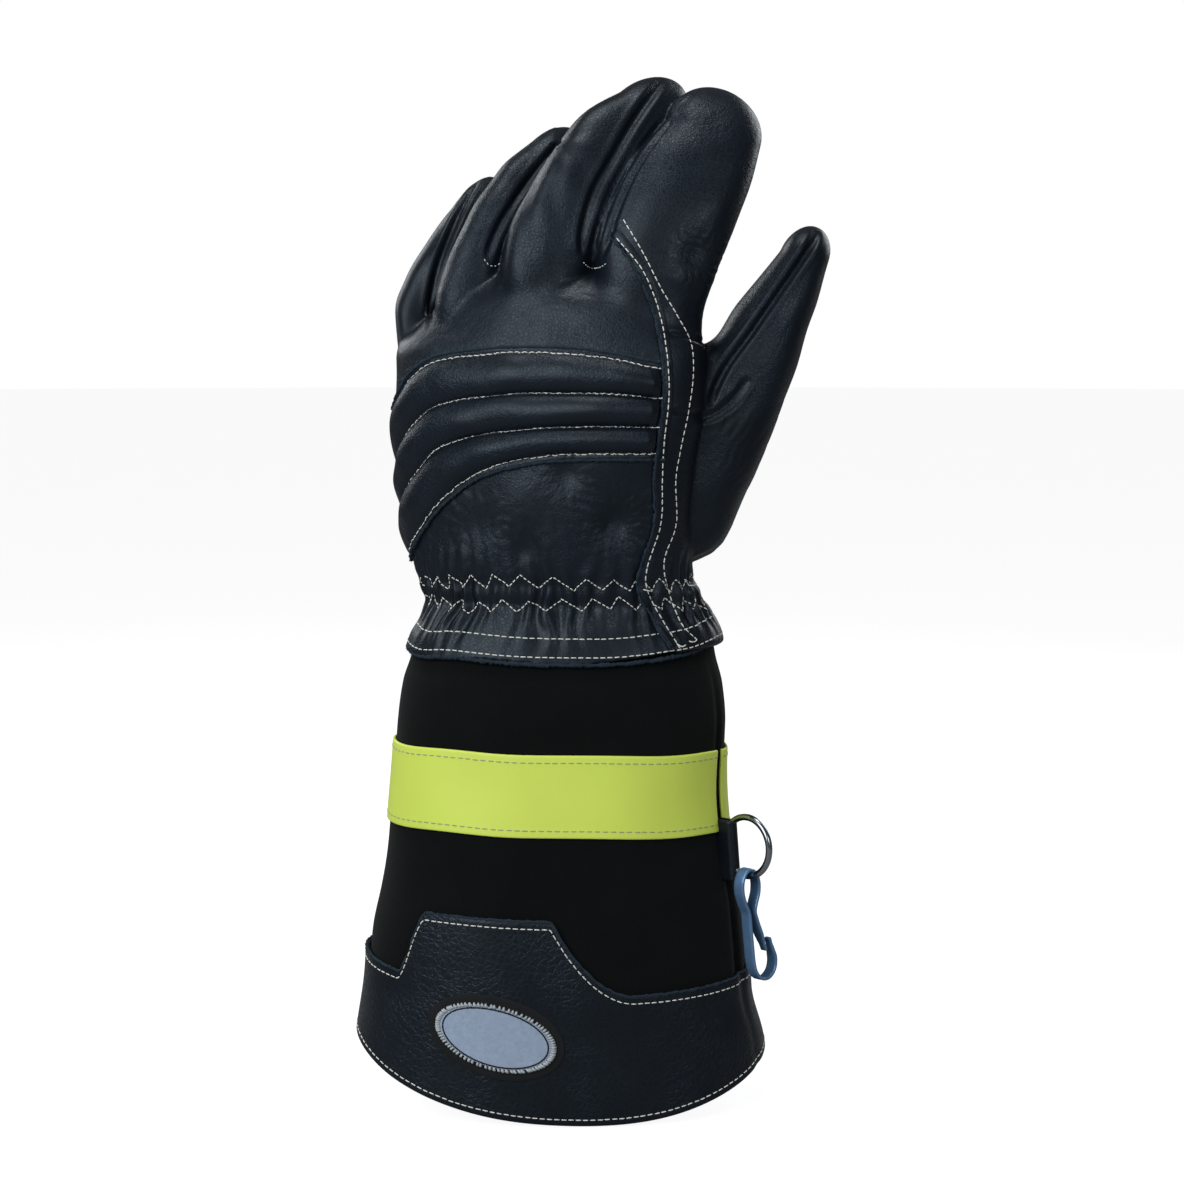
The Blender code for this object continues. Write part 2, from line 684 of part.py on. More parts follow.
def strap():
    """A leather fold out of the side seam, open above and below, with the ring's wire inside."""
    out = fold_direction()
    side = Vector((-out.y, out.x, 0))
    inner_half = RING_WIRE / 2 + RING_CLEARANCE
    radius = (RING_DIAMETER - RING_WIRE) / 2
    half = STRAP_HEIGHT / 2
    chord = math.sqrt(radius**2 - half**2)
    centre = ring_centre()
    fold = centre - out * (chord - RING_WIRE / 2 * radius / chord - RING_CLEARANCE + inner_half)
    levels = [centre.z + half - STRAP_HEIGHT * k / 3 for k in range(4)]
    outer, inner = [], []
    for level in levels:
        middle = Vector((fold.x, fold.y, level))
        beside_tape = level > -TAPE_DROP - TAPE_HEIGHT - STRAP_HEIGHT / 3
        clear = 2 * GAP + TAPE_THICKNESS if beside_tape else GAP
        rows = []
        for reach in (inner_half + STRAP_THICKNESS, inner_half):
            row = []
            for sign in (1, -1):
                foot = middle + side * (sign * reach)
                back = distance_to_cuff(foot, out, clear)
                leg = [foot - out * back, foot - out * back / 2]
                row.append(leg if sign > 0 else leg[::-1])
            bend = [
                middle + side * (reach * math.cos(turn)) + out * (reach * math.sin(turn))
                for turn in [math.pi * k / 6 for k in range(7)]
            ]
            rows.append(row[0] + bend + row[1])
        outer.append(rows[0])
        inner.append(rows[1])
    return sheet("hook_strap", outer, inner, False, "leather")


def ring():
    """A round steel ring, upright, through the strap's fold."""
    out = fold_direction()
    centre = ring_centre()
    radius = (RING_DIAMETER - RING_WIRE) / 2
    sides, wire = 28, 8
    points, faces = [], []
    for i in range(sides):
        turn = 2 * math.pi * i / sides
        spoke = out * math.cos(turn) + Vector((0, 0, math.sin(turn)))
        across = Vector((-out.y, out.x, 0))
        for j in range(wire):
            roll = 2 * math.pi * (j + 0.5) / wire
            offset = spoke * math.cos(roll) + across * math.sin(roll)
            points.append(centre + spoke * radius + offset * (RING_WIRE / 2))
    for i in range(sides):
        for j in range(wire):
            a, b = i * wire + j, i * wire + (j + 1) % wire
            c, d = (i + 1) % sides * wire + (j + 1) % wire, (i + 1) % sides * wire + j
            faces.append((a, b, c, d))
    return mesh_object("split_ring", points, faces, "steel")


def hook_line():
    """The strip's middle line, as points between its path's own points on a smooth curve."""
    path = [Vector((across, along)) * HOOK_LENGTH for across, along in HOOK_PATH]
    fine = []
    for i in range(len(path) - 1):
        before, after = path[max(i - 1, 0)], path[min(i + 2, len(path) - 1)]
        start, end = path[i], path[i + 1]
        for k in range(2):
            t = k / 2
            fine.append(
                0.5
                * (
                    2 * start
                    + (end - before) * t
                    + (2 * before - 5 * start + 4 * end - after) * t**2
                    + (3 * start - before - 3 * end + after) * t**3
                )
            )
    return fine + [path[-1]]


def hook():
    """One flat steel strip, bent to an eye, a hook and a sprung gate that closes inside its tip."""
    out = fold_direction()
    across = Vector((-out.y, out.x, 0))
    wire = ring_centre() - Vector((0, 0, (RING_DIAMETER - RING_WIRE) / 2))
    line = hook_line()
    left, right = [], []
    for i, point in enumerate(line):
        along = (line[min(i + 1, len(line) - 1)] - line[max(i - 1, 0)]).normalized()
        normal = Vector((-along.y, along.x)) * (HOOK_THICKNESS / 2)
        for rows, flat in ((left, point + normal), (right, point - normal)):
            middle = wire + across * flat.x + Vector((0, 0, flat.y))
            rows.append([middle - out * HOOK_WIDTH / 2, middle + out * HOOK_WIDTH / 2])
    return sheet("snap_hook", left, right, False, "blued_steel")


def main():
    clear_scene()
    for name in FINGER_SECTIONS:
        finger(name)
    hand_panels()
    knuckle_guard()
    cuff()
    tape()
    trim()
    badge()
    strap()
    ring()
    hook()


main()
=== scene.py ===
"""Looks of a left-hand firefighter glove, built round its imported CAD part.

Everything is in metres: +Z to the fingertips, +X to the thumb, the back of the hand faces -Y.
Lines that follow the photograph are tables in millimetres, as seen from in front of the glove,
and are laid on the leather along the camera's rays.
"""

import math

import bmesh
import bpy
import numpy as np
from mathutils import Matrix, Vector
from mathutils.bvhtree import BVHTree


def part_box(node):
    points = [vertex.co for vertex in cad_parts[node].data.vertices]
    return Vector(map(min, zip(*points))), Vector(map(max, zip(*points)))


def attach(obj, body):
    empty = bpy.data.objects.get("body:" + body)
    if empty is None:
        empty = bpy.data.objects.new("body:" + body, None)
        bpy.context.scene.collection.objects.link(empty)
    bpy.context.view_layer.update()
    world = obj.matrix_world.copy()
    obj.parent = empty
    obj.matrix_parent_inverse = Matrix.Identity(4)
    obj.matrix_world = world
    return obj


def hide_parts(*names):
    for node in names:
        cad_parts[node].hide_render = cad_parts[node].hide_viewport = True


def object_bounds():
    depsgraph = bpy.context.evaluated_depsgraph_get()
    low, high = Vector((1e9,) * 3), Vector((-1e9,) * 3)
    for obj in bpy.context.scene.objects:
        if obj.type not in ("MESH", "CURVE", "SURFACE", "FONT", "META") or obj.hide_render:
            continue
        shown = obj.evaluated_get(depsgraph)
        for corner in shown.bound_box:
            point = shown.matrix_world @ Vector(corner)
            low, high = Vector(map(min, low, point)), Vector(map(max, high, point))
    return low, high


bl_info = {
    "name": "Firefighter glove looks",
    "version": (1, 0, 0),
    "blender": (4, 5, 0),
    "location": "View3D > Sidebar > Glove",
    "description": "Dresses the glove's CAD part in leather, suede, tape, thread and steel",
    "category": "Object",
}

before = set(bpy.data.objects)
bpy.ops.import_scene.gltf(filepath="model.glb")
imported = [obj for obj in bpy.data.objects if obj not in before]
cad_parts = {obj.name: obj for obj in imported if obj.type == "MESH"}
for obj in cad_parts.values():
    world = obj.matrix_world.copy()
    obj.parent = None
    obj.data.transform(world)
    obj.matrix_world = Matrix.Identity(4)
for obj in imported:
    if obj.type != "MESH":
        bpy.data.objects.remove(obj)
CAD_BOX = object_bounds()
MM = 0.001

# The glove's main form, repeated from the part's source

HAND_LENGTH, HAND_WIDTH, HAND_DEPTH = 0.200, 0.120, 0.050
GAUNTLET_LENGTH, CUFF_WIDTH, CUFF_DEPTH = 0.190, 0.157, 0.084
LEATHER, GAP = 0.0020, 0.0005
SKIRT_DROP = 0.021
HEM_DIP, HEM_DIP_PALM, HEM_SAG = 0.024, 0.014, 0.0036
TAPE_DROP, TAPE_HEIGHT, TAPE_THICK = 0.0545, 0.0310, 0.0008
TAPE_SLOT, TAPE_INSET = 0.052, 0.0028
SEAM_ANGLE = math.radians(70)
TRIM_HEIGHT, TRIM_DIP, TRIM_THICK, TAB_RISE = 0.030, 0.008, 0.0016, 0.0194
TRIM_TOP_INSET, TRIM_HEM_INSET = 0.0030, 0.0026
TAB_LEFT, TAB_RIGHT = -0.0580, 0.0290
TAB_SLOPE_LEFT, TAB_SLOPE_RIGHT = 0.0085, 0.0310
SQUARENESS, FINGER_SQUARENESS = 2.2, 2.7

HAND_SECTIONS = (
    # level, left, right, back, palm, turn
    (0.000, -0.392, 0.446, 0.500, 0.500, 0.04),
    (0.040, -0.412, 0.417, 0.510, 0.510, 0.08),
    (0.095, -0.442, 0.404, 0.540, 0.540, 0.13),
    (0.190, -0.467, 0.408, 0.570, 0.580, 0.19),
    (0.285, -0.481, 0.422, 0.560, 0.580, 0.23),
    (0.385, -0.494, 0.438, 0.530, 0.560, 0.25),
    (0.470, -0.490, 0.442, 0.470, 0.480, 0.25),
    (0.520, -0.415, 0.400, 0.410, 0.380, 0.25),
    (0.570, -0.330, 0.330, 0.350, 0.300, 0.25),
    (0.605, -0.245, 0.260, 0.210, 0.180, 0.25),
    (0.628, -0.200, 0.190, 0.030, 0.030, 0.25),
)
CUFF_SECTIONS = (
    # level, left, right, back, palm, tilt
    (-1.060, -0.505, 0.527, 0.512, 0.512, 0.045),
    (-0.874, -0.478, 0.500, 0.500, 0.500, 0.045),
    (-0.770, -0.459, 0.468, 0.495, 0.495, 0.044),
    (-0.680, -0.449, 0.462, 0.488, 0.488, 0.040),
    (-0.600, -0.432, 0.452, 0.476, 0.476, 0.034),
    (-0.480, -0.410, 0.422, 0.462, 0.462, 0.028),
    (-0.370, -0.396, 0.413, 0.446, 0.446, 0.025),
    (-0.240, -0.383, 0.417, 0.429, 0.429, 0.022),
    (-0.165, -0.371, 0.408, 0.405, 0.405, 0.012),
    (-0.116, -0.354, 0.392, 0.369, 0.369, 0.000),
    (-0.074, -0.338, 0.382, 0.339, 0.339, 0.000),
    (-0.042, -0.315, 0.366, 0.315, 0.315, 0.000),
)
FINGER_SECTIONS = {
    # side x and z towards the little finger, then towards the thumb, middle, depth
    "little": (
        (-0.495, 0.430, -0.300, 0.420, 0.28, 0.24),
        (-0.520, 0.550, -0.394, 0.524, 0.50, 0.21),
        (-0.486, 0.613, -0.356, 0.574, 0.58, 0.215),
        (-0.415, 0.690, -0.275, 0.637, 0.66, 0.23),
        (-0.342, 0.750, -0.210, 0.694, 0.82, 0.22),
    ),
    "ring": (
        (-0.383, 0.430, -0.183, 0.420, 0.14, 0.26),
        (-0.380, 0.565, -0.200, 0.530, 0.15, 0.25),
        (-0.314, 0.685, -0.160, 0.637, 0.25, 0.25),
        (-0.246, 0.765, -0.104, 0.712, 0.38, 0.25),
        (-0.162, 0.835, -0.030, 0.770, 0.52, 0.24),
        (-0.079, 0.878, 0.040, 0.815, 0.66, 0.22),
    ),
    "middle": (
        (-0.192, 0.440, 0.092, 0.430, -0.02, 0.30),
        (-0.179, 0.590, 0.086, 0.550, -0.04, 0.30),
        (-0.150, 0.694, 0.122, 0.636, -0.03, 0.30),
        (-0.080, 0.780, 0.172, 0.712, 0.02, 0.29),
        (0.008, 0.863, 0.236, 0.780, 0.13, 0.28),
        (0.096, 0.930, 0.306, 0.838, 0.26, 0.26),
        (0.204, 0.967, 0.374, 0.892, 0.38, 0.22),
    ),
    "index": (
        (0.083, 0.460, 0.450, 0.430, -0.14, 0.34),
        (0.121, 0.560, 0.454, 0.530, -0.14, 0.35),
        (0.128, 0.670, 0.508, 0.625, -0.13, 0.35),
        (0.184, 0.764, 0.573, 0.720, -0.08, 0.34),
        (0.258, 0.846, 0.624, 0.800, 0.02, 0.33),
        (0.356, 0.910, 0.652, 0.870, 0.12, 0.29),
    ),
    "thumb": (
        (0.333, 0.450, 0.317, 0.060, 0.04, 0.40),
        (0.446, 0.478, 0.500, 0.095, 0.04, 0.40),
        (0.488, 0.488, 0.625, 0.230, 0.06, 0.38),
        (0.512, 0.500, 0.717, 0.360, 0.08, 0.36),
        (0.554, 0.542, 0.783, 0.475, 0.10, 0.34),
        (0.638, 0.608, 0.832, 0.570, 0.14, 0.30),
        (0.717, 0.665, 0.865, 0.638, 0.18, 0.24),
    ),
}
FINGER_TIPS = {
    # x, z, middle
    "little": (-0.192, 0.810, 0.98),
    "ring": (0.071, 0.900, 0.80),
    "middle": (0.392, 0.989, 0.54),
    "index": (0.521, 0.972, 0.26),
    "thumb": (0.829, 0.712, 0.22),
}

# Lines on the leather, in millimetres as seen from in front: x, z

SEAM_GROOVES = (
    # depth, half width, points
    (1.7, 1.5, (
        (9.8, 130.6), (10.9, 141.2), (15.0, 155.2), (22.1, 168.1), (30.3, 182.2), (38.5, 193.9), (42.6, 198.0),
    )),
    (1.5, 1.3, ((17.2, 129.5), (26.8, 156.3), (32.6, 166.6), (38.3, 175.0), (45.6, 184.6), (51.7, 192.3))),
    (1.5, 1.3, ((-26.4, 129.5), (-20.3, 143.6), (-8.4, 161.2), (3.4, 175.0))),
    (1.5, 1.3, (
        (-47.7, 103.7), (-47.1, 113.0), (-44.2, 127.1), (-38.9, 141.2), (-33.0, 154.1), (-27.8, 160.5),
    )),
    (1.3, 0.9, ((14.9, 129.5), (18.8, 143.6), (22.2, 151.7), (30.3, 168.1), (40.2, 181.2))),
    (2.2, 1.3, (
        (100.0, 141.8), (97.1, 135.3), (90.1, 124.8), (81.9, 113.0),
        (73.7, 101.3), (65.4, 89.6), (60.2, 79.0), (59.0, 73.2),
    )),
    (1.2, 1.4, ((51.4, 70.2), (57.2, 69.9), (61.9, 72.0), (67.8, 76.7), (73.7, 84.9))),
    (0.9, 1.0, ((42.5, 101.0), (51.4, 99.2), (59.0, 94.5))),
    (0.8, 0.9, ((44.5, 71.8), (50.0, 71.4), (56.0, 72.0))),
)
WRINKLE_DEPTH, DENT_RAYS = 1.15, 0.20
WRINKLES = (
    # x, z, half length, half height, degrees, wave, depth, seed
    (13.4, 113.0, 20, 7, 8, 3.0, 0.26, 41),
    (-38.0, 99.6, 14, 9, 18, 3.2, 0.22, 43),
    (53.6, 134.0, 9, 8, -25, 3.0, 0.50, 45),
    (60.0, 160.0, 24, 9, 62, 3.0, 0.26, 47),
    (70.0, 55.0, 24, 14, 55, 3.6, 0.28, 49),
    (0.0, 24.0, 9, 44, 90, 5.0, 0.42, 51),
    (-45.0, 30.0, 14, 9, 60, 3.6, 0.26, 53),
    (80.0, 95.0, 26, 7, 56, 3.0, 0.18, 55),
    (49.0, 108.0, 9, 7, 10, 3.0, 0.25, 57),
    (48.0, 60.0, 9, 14, 0, 5.0, 0.25, 59),
    (12.0, 40.0, 26, 9, -35, 4.4, 0.26, 65),
)
DENTS = (
    # x, z, radius, depth, rays, seed
    (23.0, 29.0, 7.0, 4.4, 22, 61),
    (53.0, 131.0, 6.0, 1.8, 16, 63),
    (3.8, 47.5, 5.5, 1.5, 12, 67),
    (-30.0, 28.0, 8.5, 1.5, 14, 69),
    (-12.0, 19.0, 5.5, 1.3, 12, 71),
)
STRIP_OUTER_STITCH = (
    (25.7, 144.8), (33.3, 132.1), (40.2, 118.7), (47.1, 107.2), (51.7, 97.7), (52.5, 86.2),
    (50.9, 72.8), (47.9, 58.0), (46.0, 46.0), (46.2, 29.1), (41.6, 14.7), (43.5, 3.0),
    (48.1, -8.8), (53.2, -14.6),
)
STRIP_INNER_STITCH = (
    (23.0, 137.9), (32.6, 126.4), (37.9, 114.9), (41.0, 103.4), (42.9, 90.0), (43.3, 76.6),
    (41.5, 60.0), (40.9, 46.0), (40.3, 29.1), (35.1, 12.1), (35.4, 3.1), (40.9, -7.5),
    (48.1, -19.2),
)
STRIP_EDGE = (
    (21.1, 138.6), (29.0, 128.2), (34.4, 117.6), (38.3, 105.0), (40.6, 90.0), (40.9, 76.6),
    (38.9, 60.0), (37.4, 46.0), (37.5, 29.1), (32.3, 12.8), (31.8, 4.0), (36.8, -7.5),
    (44.0, -19.0),
)
CROTCH_LEVELS = ((-60, 92), (-45, 97), (-40, 104), (-33, 117), (-25, 122), (50, 123), (60, 112))
LEATHER_FACES_KEPT = 0.66
LOOSE_ENDS = (
    ((53.2, -14.6), (54.0, -15.6), (52.6, -16.4), (51.0, -16.2)),
    ((46.6, -17.0), (48.2, -18.2), (49.6, -17.6)),
    ((36.8, 3.2), (33.0, 4.4), (30.4, 7.2)),
    ((49.4, 8.0), (51.6, 5.2), (54.0, 6.2)),
)
CROTCH_STITCHES = (
    ((-27.0, 130.0), (-25.2, 127.6), (-22.8, 127.0), (-20.6, 128.2)),
    ((10.5, 128.6), (13.2, 126.4), (16.6, 126.4), (19.5, 128.0)),
)
SKIRT_EDGE = (
    # angle in degrees from the front towards the thumb, level of the leather's hem
    (-180, -18.5), (-110, -18.0), (-80, -19.0), (-62, -20.6), (-45, -19.9), (-10, -21.6),
    (10, -21.9), (45, -19.5), (75, -16.0), (110, -15.5), (180, -18.5),
)
ZIGZAG_ROWS, ZIGZAG_TEETH, HEM_ROWS = (8.6, 0.4), 62, (3.4, 10.2)
TUFT_LEVEL = 101.0
GUARD_EDGE, GUARD_LIP, RIB_RISE, RIB_ROUNDNESS = 0.75, 1.15, 3.7, 0.72
GUARD_LINES = (
    # angle in degrees from the front towards the thumb, then the levels of the four stitch lines
    (49.0, 88.9, 78.1, 67.4, 57.8),
    (18.0, 93.1, 79.9, 67.8, 57.8),
    (4.0, 94.6, 80.0, 67.4, 57.3),
    (-8.0, 94.8, 79.7, 66.3, 55.2),
    (-23.0, 93.8, 78.1, 64.0, 50.6),
    (-42.0, 91.2, 74.7, 59.0, 39.4),
    (-57.0, 85.4, 67.4, 49.8, 29.9),
    (-71.0, 77.4, 59.7, 42.1, 23.0),
    (-90.0, 70.0, 50.0, 33.0, 17.0),
)
HOOK_PATH = (
    # across, along: shares of the hook's length from the ring's wire
    (0.200, -0.600), (0.222, -0.700), (0.235, -0.800), (0.205, -0.885), (0.130, -0.930),
    (0.050, -0.915), (-0.010, -0.850), (-0.035, -0.760), (-0.040, -0.600), (-0.042, -0.450),
    (-0.045, -0.320), (-0.078, -0.230), (-0.103, -0.130), (-0.095, -0.035), (-0.050, 0.035),
    (0.010, 0.052), (0.070, 0.015), (0.100, -0.070), (0.090, -0.165), (0.052, -0.245),
    (0.028, -0.310), (0.040, -0.380), (0.085, -0.520), (0.145, -0.690),
)


LIGHTS = (
    # name, place, size, power, tint
    ("key", (-0.72, -1.00, 0.62), 1.10, 13, (0.94, 0.975, 1)),
    ("fill", (0.60, -1.1, 0.40), 0.40, 2.2, (0.92, 0.96, 1)),
    ("top", (-0.1, -0.1, 1.2), 0.5, 4.5, (1, 1, 1)),
    ("back left", (-0.8, 0.8, 0.6), 0.8, 5, (0.95, 0.98, 1)),
    ("back right", (0.8, 0.8, 0.5), 0.8, 5, (0.95, 0.98, 1)),
)


class GloveSizes(bpy.types.PropertyGroup):
    """Sizes of the sewing and of the leather's relief."""

    grid: bpy.props.FloatProperty(
        name="Leather grid", description="Edge of the leather's faces", default=0.00088, unit="LENGTH"
    )
    pitch: bpy.props.FloatProperty(
        name="Stitch pitch", description="From one stitch to the next", default=0.0027, unit="LENGTH"
    )
    thread: bpy.props.FloatProperty(
        name="Thread", description="Half the thickness of the sewing thread", default=0.00023, unit="LENGTH"
    )
    gather: bpy.props.FloatProperty(
        name="Gathers", description="Height of the puckers at the wrist", default=0.0014, unit="LENGTH"
    )
    eye_distance: bpy.props.FloatProperty(
        name="Camera distance", description="From the camera to the glove", default=1.1, unit="LENGTH"
    )


class GloveColours(bpy.types.PropertyGroup):
    """Colours of the glove's finishes."""

    leather: bpy.props.FloatVectorProperty(
        name="Leather", description="Full grain leather", subtype="COLOR", default=(0.0046, 0.0078, 0.0130)
    )
    suede: bpy.props.FloatVectorProperty(
        name="Suede", description="Napped cuff leather", subtype="COLOR", default=(0.0026, 0.0031, 0.0034)
    )
    raw_edge: bpy.props.FloatVectorProperty(
        name="Raw edge", description="Cut edges of the leather", subtype="COLOR", default=(0.020, 0.033, 0.047)
    )
    thread: bpy.props.FloatVectorProperty(
        name="Thread", description="Sewing thread", subtype="COLOR", default=(0.84, 0.83, 0.76)
    )
    tape: bpy.props.FloatVectorProperty(
        name="Tape", description="Fluorescent band", subtype="COLOR", default=(0.74, 0.88, 0.13)
    )
    badge: bpy.props.FloatVectorProperty(
        name="Badge", description="Woven badge", subtype="COLOR", default=(0.33, 0.41, 0.54)
    )
    hook: bpy.props.FloatVectorProperty(
        name="Hook", description="Blued spring steel", subtype="COLOR", default=(0.15, 0.29, 0.50)
    )


def sizes():
    return bpy.context.scene.glove_sizes


def colours():
    return bpy.context.scene.glove_colours


# Curves and surfaces


def curve_at(table, at):
    """A table's columns after its first, along a smooth monotone curve at values of the first."""
    table = np.array(sorted(table), float)
    x, y = table[:, 0], table[:, 1:]
    at = np.clip(np.asarray(at, float), x[0], x[-1])
    low = np.clip(np.searchsorted(x, at, side="right") - 1, 0, len(x) - 2)
    step = np.diff(x)[:, None]
    rise = np.diff(y, axis=0) / step
    product, total = rise[:-1] * rise[1:], rise[:-1] + rise[1:]
    slope = np.zeros_like(y)
    slope[1:-1] = np.where(product > 0, 2 * product / np.where(product > 0, total, 1), 0)
    span = step[low]
    t = (at - x[low])[..., None] / span
    return (
        y[low] * (2 * t**3 - 3 * t**2 + 1)
        + slope[low] * span * (t**3 - 2 * t**2 + t)
        + y[low + 1] * (3 * t**2 - 2 * t**3)
        + slope[low + 1] * span * (t**3 - t**2)
    )


def body_rows():
    rows = [
        (s * GAUNTLET_LENGTH, a * CUFF_WIDTH, b * CUFF_WIDTH, c * CUFF_DEPTH, d * CUFF_DEPTH, 0, tilt)
        for s, a, b, c, d, tilt in CUFF_SECTIONS
    ]
    return rows + [
        (s * HAND_LENGTH, a * HAND_WIDTH, b * HAND_WIDTH, c * HAND_DEPTH, d * HAND_DEPTH, turn, 0)
        for s, a, b, c, d, turn in HAND_SECTIONS
    ]


BODY = body_rows()


def unit(vectors):
    return vectors / np.linalg.norm(vectors, axis=-1, keepdims=True)


def around(count):
    """Angles of even steps round a circle."""
    return 2 * math.pi * np.arange(count) / count


def signed_power(value, power):
    return np.sign(value) * np.abs(value) ** power


def body(level, angle, outward=0.0):
    """Points of the core, moved outward: angle 0 is the back of the hand, and grows to the thumb."""
    level, angle, outward = np.broadcast_arrays(level, angle, outward)
    left, right, back, palm, turn, tilt = np.moveaxis(curve_at(BODY, level), -1, 0)
    front = np.cos(angle)
    across = ((right - left) / 2 + outward) * signed_power(np.sin(angle), 2 / SQUARENESS)
    deep = np.where(front > 0, back, palm) + outward
    y = -deep * signed_power(front, 2 / SQUARENESS) - turn * across
    return np.stack(((left + right) / 2 + across, y, level - tilt * across), -1)


def angle_at(level, x, outward=0.0):
    left, right = curve_at(BODY, level)[..., :2].T
    share = (x - (left + right) / 2) / ((right - left) / 2 + outward)
    return np.arcsin(signed_power(np.clip(share, -1, 1), SQUARENESS / 2))


def finger_rings(name, steps=26, tip_steps=9, sides=40):
    """Rings of a finger from inside the hand to just short of its tip, and the tip."""
    table = []
    for i, (ax, az, bx, bz, middle, depth) in enumerate(FINGER_SECTIONS[name]):
        y = middle * HAND_DEPTH
        table.append(
            (i, ax * HAND_WIDTH, y, az * HAND_LENGTH, bx * HAND_WIDTH, y, bz * HAND_LENGTH, depth * HAND_DEPTH)
        )
    last = len(table) - 1
    values = curve_at(table, np.linspace(0, last, steps))
    x, z, middle = FINGER_TIPS[name]
    tip = np.array((x * HAND_WIDTH, middle * HAND_DEPTH, z * HAND_LENGTH))
    end = values[-1]
    centre, half = (end[0:3] + end[3:6]) / 2, (end[3:6] - end[0:3]) / 2
    rings = [((v[0:3] + v[3:6]) / 2, (v[3:6] - v[0:3]) / 2, v[6]) for v in values]
    for k in range(1, tip_steps):
        turn = k / tip_steps * math.pi / 2
        rings.append((centre + (tip - centre) * math.sin(turn), half * math.cos(turn), end[6] * math.cos(turn)))
    turns = 2 * math.pi * (np.arange(sides) + 0.5) / sides
    along = signed_power(np.cos(turns), 2 / FINGER_SQUARENESS)[:, None]
    across = signed_power(np.sin(turns), 2 / FINGER_SQUARENESS)[:, None]
    forward = np.array((0, -1.0, 0))
    return np.array([c + h * along + forward * (d * across) for c, h, d in rings]), tip


def smooth_line(points, spacing):
    """A Catmull-Rom curve through points, cut to even steps."""
    p = np.asarray(points, float)
    p = np.vstack((2 * p[0] - p[1], p, 2 * p[-1] - p[-2]))
    t = np.linspace(0, 1, 16, endpoint=False)[:, None]
    fine = [
        0.5
        * (
            2 * p[i]
            + (p[i + 1] - p[i - 1]) * t
            + (2 * p[i - 1] - 5 * p[i] + 4 * p[i + 1] - p[i + 2]) * t**2
            + (3 * p[i] - p[i - 1] - 3 * p[i + 1] + p[i + 2]) * t**3
        )
        for i in range(1, len(p) - 2)
    ]
    return even(np.vstack(fine + [p[-2][None]]), spacing)


def even(line, spacing):
    """The same line with points at even distances."""
    run = np.concatenate(([0], np.cumsum(np.linalg.norm(np.diff(line, axis=0), axis=1))))
    at = np.linspace(0, run[-1], max(2, int(round(run[-1] / spacing)) + 1))
    return np.stack([np.interp(at, run, line[:, k]) for k in range(line.shape[1])], 1)


def waves(a, b, scale, seed):
    """Smooth, seeded unevenness from -1 to 1 over two coordinates."""
    rng = np.random.default_rng(seed)
    total = 0
    for _ in range(9):
        direction = rng.uniform(0, 2 * math.pi)
        rate = rng.uniform(0.6, 1.7) * 2 * math.pi / scale
        ahead = a * math.cos(direction) + b * math.sin(direction)
        total = total + np.sin(ahead * rate + rng.uniform(0, 6.28))
    return total / 4.5


# Meshes


def mesh_object(name, points, faces, finish, smooth=True):
    mesh = bpy.data.meshes.new(name)
    mesh.from_pydata([tuple(p) for p in points], [], [tuple(f) for f in faces])
    mesh.materials.append(finish)
    mesh.polygons.foreach_set("use_smooth", [smooth] * len(mesh.polygons))
    mesh.validate()
    build = bmesh.new()
    build.from_mesh(mesh)
    bmesh.ops.recalc_face_normals(build, faces=build.faces)
    build.to_mesh(mesh)
    build.free()
    obj = bpy.data.objects.new(name, mesh)
    bpy.context.scene.collection.objects.link(obj)
    return obj


def grid_faces(rows, columns, wraps, start=0):
    i, j = np.meshgrid(np.arange(rows - 1), np.arange(columns if wraps else columns - 1), indexing="ij")
    i, j = i.ravel(), j.ravel()
    k = (j + 1) % columns
    this, after = i * columns, (i + 1) * columns
    return (start + np.stack((this + j, this + k, after + k, after + j), 1)).tolist()


def wall(name, outer, inner, wraps, finish):
    """A closed wall between two grids of points, each rows x columns x 3."""
    rows, columns = outer.shape[:2]
    shift = rows * columns
    points = np.vstack((outer.reshape(-1, 3), inner.reshape(-1, 3)))
    faces = grid_faces(rows, columns, wraps) + grid_faces(rows, columns, wraps, shift)
    for i in (0, rows - 1):
        for j in range(columns if wraps else columns - 1):
            a, b = i * columns + j, i * columns + (j + 1) % columns
            faces.append((a, b, b + shift, a + shift))
    if not wraps:
        for j in (0, columns - 1):
            for i in range(rows - 1):
                a, b = i * columns + j, (i + 1) * columns + j
                faces.append((a, b, b + shift, a + shift))
    return mesh_object(name, points, faces, finish)


def loft(name, rings, tip, finish):
    """A closed solid through rings, flat at its start and brought to a point at its end."""
    count, sides = len(rings), len(rings[0])
    points = np.vstack((np.reshape(rings, (-1, 3)), tip[None]))
    faces = grid_faces(count, sides, True) + [list(range(sides))]
    start = (count - 1) * sides
    faces += [(start + j, start + (j + 1) % sides, count * sides) for j in range(sides)]
    return mesh_object(name, points, faces, finish)


def apply_modifiers(obj):
    bpy.context.view_layer.update()
    mesh = bpy.data.meshes.new_from_object(obj.evaluated_get(bpy.context.evaluated_depsgraph_get()))
    obj.modifiers.clear()
    obj.data = mesh
    return mesh


def coordinates(mesh):
    co = np.empty(len(mesh.vertices) * 3)
    mesh.vertices.foreach_get("co", co)
    return co.reshape(-1, 3)


def normals_of(mesh):
    n = np.empty(len(mesh.vertices) * 3)
    mesh.vertex_normals.foreach_get("vector", n)
    return n.reshape(-1, 3)


def set_coordinates(mesh, co):
    mesh.vertices.foreach_set("co", co.ravel())
    mesh.update()


def shape_of(*objects):
    """A tree of objects' faces, to lay other pieces on."""
    points, faces = [], []
    for obj in objects:
        start = len(points)
        points += [v.co for v in obj.data.vertices]
        faces += [[start + i for i in p.vertices] for p in obj.data.polygons]
    return BVHTree.FromPolygons(points, faces)


